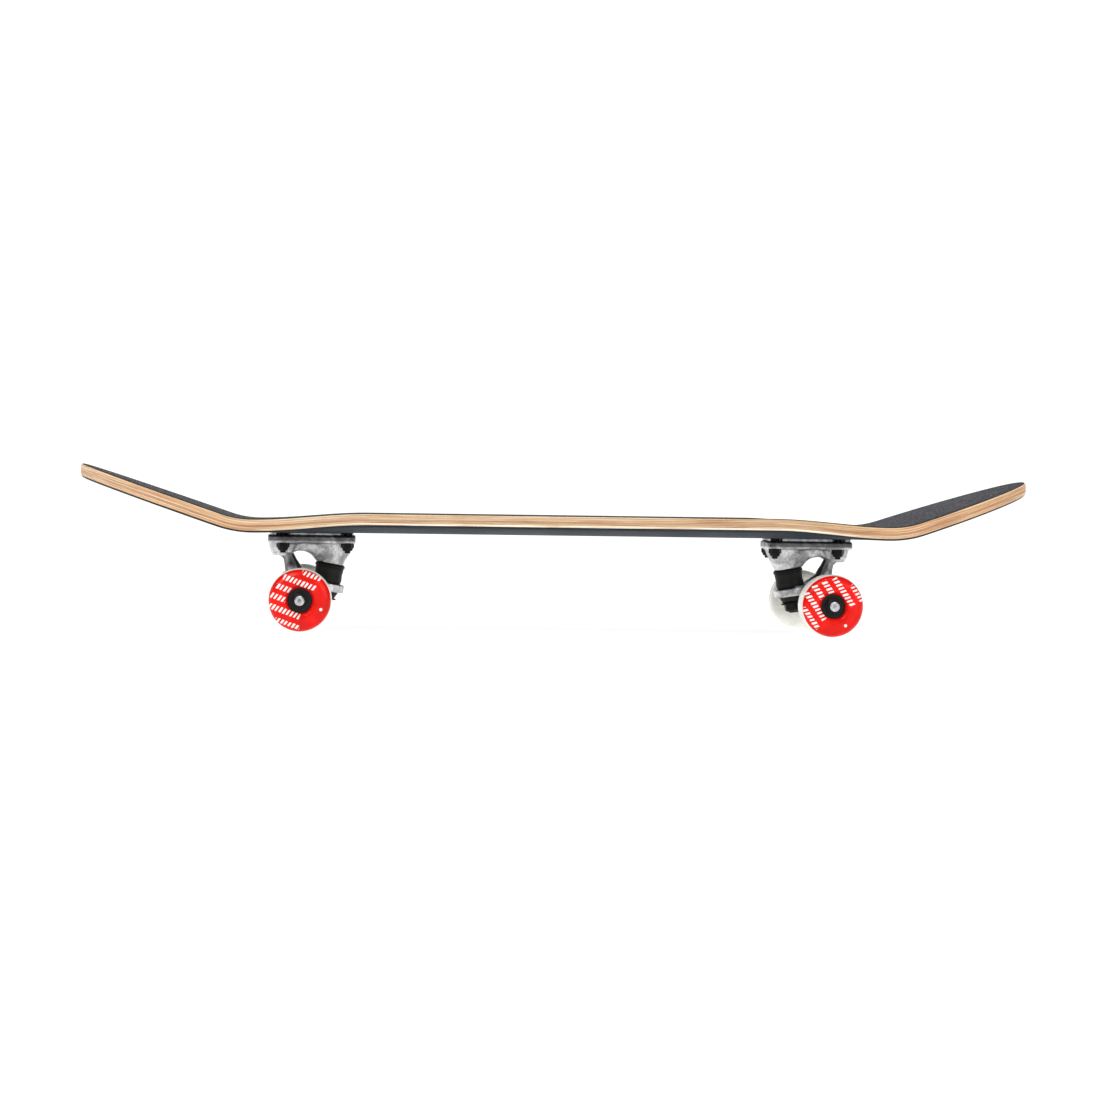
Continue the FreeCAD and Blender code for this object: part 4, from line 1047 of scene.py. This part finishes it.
class SKATE_OT_bushings(bpy.types.Operator):
    """Bushings between the board and the hanger, and the washers that hold them"""
    bl_idname = "skate.bushings"
    bl_label = "Bushings and washers"

    def execute(self, context):
        trucks = context.scene.skate_truck
        rubber = rubber_finish("black_bushing", trucks.rubber)
        zinc = black_steel_finish("black_washer", 0.4)
        for word, end in ENDS:
            for name, corners, stop in (("bushing_top", BUSHING_TOP, (1.6, 17.8)),
                                        ("bushing_bottom", BUSHING_BOTTOM, (28.9, 22.0))):
                made = turned_part("%s_rubber_%s" % (name, word), corners, word, end, 8)
                paint(made, rubber)
                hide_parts("%s_%s" % (name, word))
                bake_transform(made)
            for name, corners in (("washer_top", WASHER_TOP), ("washer_bottom", WASHER_BOTTOM)):
                made = turned_part("%s_disc_%s" % (name, word), corners, word, end)
                carry(paint(made, zinc), "board", "plated_steel", "%s_%s" % (name, word))
        return {"FINISHED"}


class SKATE_OT_wheels(bpy.types.Operator):
    """Urethane wheels with a printed outer face"""
    bl_idname = "skate.wheels"
    bl_label = "Wheels"

    def execute(self, context):
        wheels = context.scene.skate_wheel
        material = wheel_finish(wheels)
        turns = {("front", "near"): -20.0, ("rear", "near"): -55.0,
                 ("front", "far"): 140.0, ("rear", "far"): 75.0}
        for word, _ in ENDS:
            for hand, side in HANDS:
                made = wheel_piece(wheels, word, hand, side, math.radians(turns[word, hand]))
                body = "wheel_%s_%s" % (word, hand)
                carry(paint(made, material), body, "wheel_urethane", body)
        return {"FINISHED"}


class SKATE_OT_hardware(bpy.types.Operator):
    """Finishes for the bolts, nuts, axles, kingpins and bearings"""
    bl_idname = "skate.hardware"
    bl_label = "Hardware finishes"

    def execute(self, context):
        looks = {
            "mounting_bolts": black_steel_finish("bolt_black"),
            "mounting_nuts": black_steel_finish("nut_black"),
            "axle_nuts": black_steel_finish("axle_nut_black", 0.3),
            "kingpin_nut": black_steel_finish("kingpin_nut_black", 0.4),
            "kingpin": black_steel_finish("kingpin_black", 0.34),
            "axle": steel_finish("axle_ground", (0.62, 0.62, 0.64), 0.28),
            "bearing_spacers": steel_finish("spacer_zinc", (0.5, 0.5, 0.5), 0.35),
            "speed_washers": steel_finish("washer_zinc", (0.5, 0.5, 0.5), 0.35),
            "bearing_inner_rings": steel_finish("race_steel", (0.45, 0.45, 0.46), 0.22),
            "bearing_outer_rings": black_steel_finish("race_black", 0.24),
            "bearing_balls": steel_finish("ball_steel", (0.7, 0.7, 0.72), 0.1),
            "bearing_cages": nylon_finish("cage_nylon", (0.5, 0.47, 0.38)),
            "bearing_shields": rubber_finish("shield_rubber", (0.010, 0.010, 0.011), 0.4),
        }
        prefixes = sorted(looks, key=len, reverse=True)
        for node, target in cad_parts.items():
            if target.hide_render:
                continue
            match = [prefix for prefix in prefixes if node.startswith(prefix)]
            if not match:
                raise RuntimeError("no finish for " + node)
            dress(node, looks[match[0]])
        return {"FINISHED"}


class SKATE_OT_stage(bpy.types.Operator):
    """A pale sweep, soft studio lights and the camera"""
    bl_idname = "skate.stage"
    bl_label = "Stage"

    def execute(self, context):
        stage = context.scene.skate_stage
        floor = self.sweep(stage)
        self.lights(context, stage)
        self.camera(context, stage)
        return {"FINISHED"}

    def sweep(self, stage):
        """Floor that curves up into a wall: straight, then a quarter circle, then straight."""
        radius, back, height, half_width = 1.6, 3.2, 5.0, 9.0
        turn = np.linspace(0, math.pi / 2, 24)
        curve = np.stack([back + radius * np.sin(turn), radius - radius * np.cos(turn)], axis=1)
        line = np.concatenate([[(-8.0, 0.0)], curve, [(back + radius, height)]])
        x = np.array([-half_width, half_width])
        points = np.stack([np.tile(x, len(line)), np.repeat(line[:, 0], 2), np.repeat(line[:, 1], 2)], axis=1)
        floor = piece("floor_sweep", points, grid_faces(len(line), 2), merge=False)
        f = Finish("pale_paper")
        cloud = f.noise(f.place(), 3.0, 3.0, 0.5)
        f.set(Base_Color=f.mix(cloud, shade(stage.paper, 0.99), stage.paper), Roughness=0.9,
              Specular_IOR_Level=0.1, Emission_Color=(1, 1, 1), Emission_Strength=stage.floor_glow,
              Alpha=f.math("SUBTRACT", 1.0, f.add("NewGeometry").outputs["Backfacing"]))
        return paint(floor, f.material)

    def lights(self, context, stage):
        world = bpy.data.worlds.new("studio")
        context.scene.world = world
        world.use_nodes = True
        world.node_tree.nodes["Background"].inputs["Color"].default_value = (1, 1, 1, 1)
        world.node_tree.nodes["Background"].inputs["Strength"].default_value = stage.daylight
        for name, place, target, size, power in (("key", (-1.4, -1.8, 2.2), (0, 0, 0.05), 1.6, 46.0),
                                                 ("top", (0.2, 0.4, 2.6), (0, 0, 0.05), 2.6, 44.0),
                                                 ("fill", (1.8, -2.2, 1.0), (0, 0, 0.05), 1.8, 22.0)):
            data = bpy.data.lights.new(name, "AREA")
            data.energy, data.size = power, size
            light = bpy.data.objects.new(name, data)
            light.location = place
            light.rotation_euler = (Vector(target) - Vector(place)).to_track_quat("-Z", "Y").to_euler()
            context.scene.collection.objects.link(light)

    def camera(self, context, stage):
        data = bpy.data.cameras.new("camera")
        data.lens, data.sensor_width = stage.lens, 36.0
        data.clip_start, data.clip_end = 0.05, 60.0
        camera = bpy.data.objects.new("camera", data)
        pitch, yaw, roll = stage.camera_turn
        level = Matrix.Rotation(-yaw, 4, "Z") @ Matrix.Rotation(math.pi / 2 + pitch, 4, "X")
        camera.matrix_world = Matrix.Translation(stage.camera_place) @ level @ Matrix.Rotation(roll, 4, "Z")
        context.scene.collection.objects.link(camera)
        context.scene.camera = camera
        context.scene.view_settings.view_transform = "Standard"


OPERATORS = (SKATE_OT_deck, SKATE_OT_grip, SKATE_OT_castings, SKATE_OT_bushings, SKATE_OT_wheels,
             SKATE_OT_hardware, SKATE_OT_stage)


class SKATE_PT_sidebar(bpy.types.Panel):
    """The skateboard's pieces and settings"""
    bl_idname = "SKATE_PT_sidebar"
    bl_label = "Skateboard"
    bl_space_type = "VIEW_3D"
    bl_region_type = "UI"
    bl_category = "Skateboard"

    def draw(self, context):
        for operator in OPERATORS:
            self.layout.operator(operator.bl_idname)
        for key, group in GROUPS.items():
            part = self.layout.box()
            for name in group.__annotations__:
                part.prop(getattr(context.scene, key), name)


def register():
    for group in GROUPS.values():
        bpy.utils.register_class(group)
    for cls in (*OPERATORS, SKATE_PT_sidebar):
        bpy.utils.register_class(cls)
    for key, group in GROUPS.items():
        setattr(bpy.types.Scene, key, PointerProperty(type=group))


def unregister():
    for key in GROUPS:
        delattr(bpy.types.Scene, key)
    for cls in (SKATE_PT_sidebar, *OPERATORS[::-1]):
        bpy.utils.unregister_class(cls)
    for group in list(GROUPS.values())[::-1]:
        bpy.utils.unregister_class(group)


def main():
    """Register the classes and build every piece."""
    register()
    for operator in OPERATORS:
        group, name = operator.bl_idname.split(".")
        getattr(getattr(bpy.ops, group), name)()


if __name__ == "__main__":
    main()
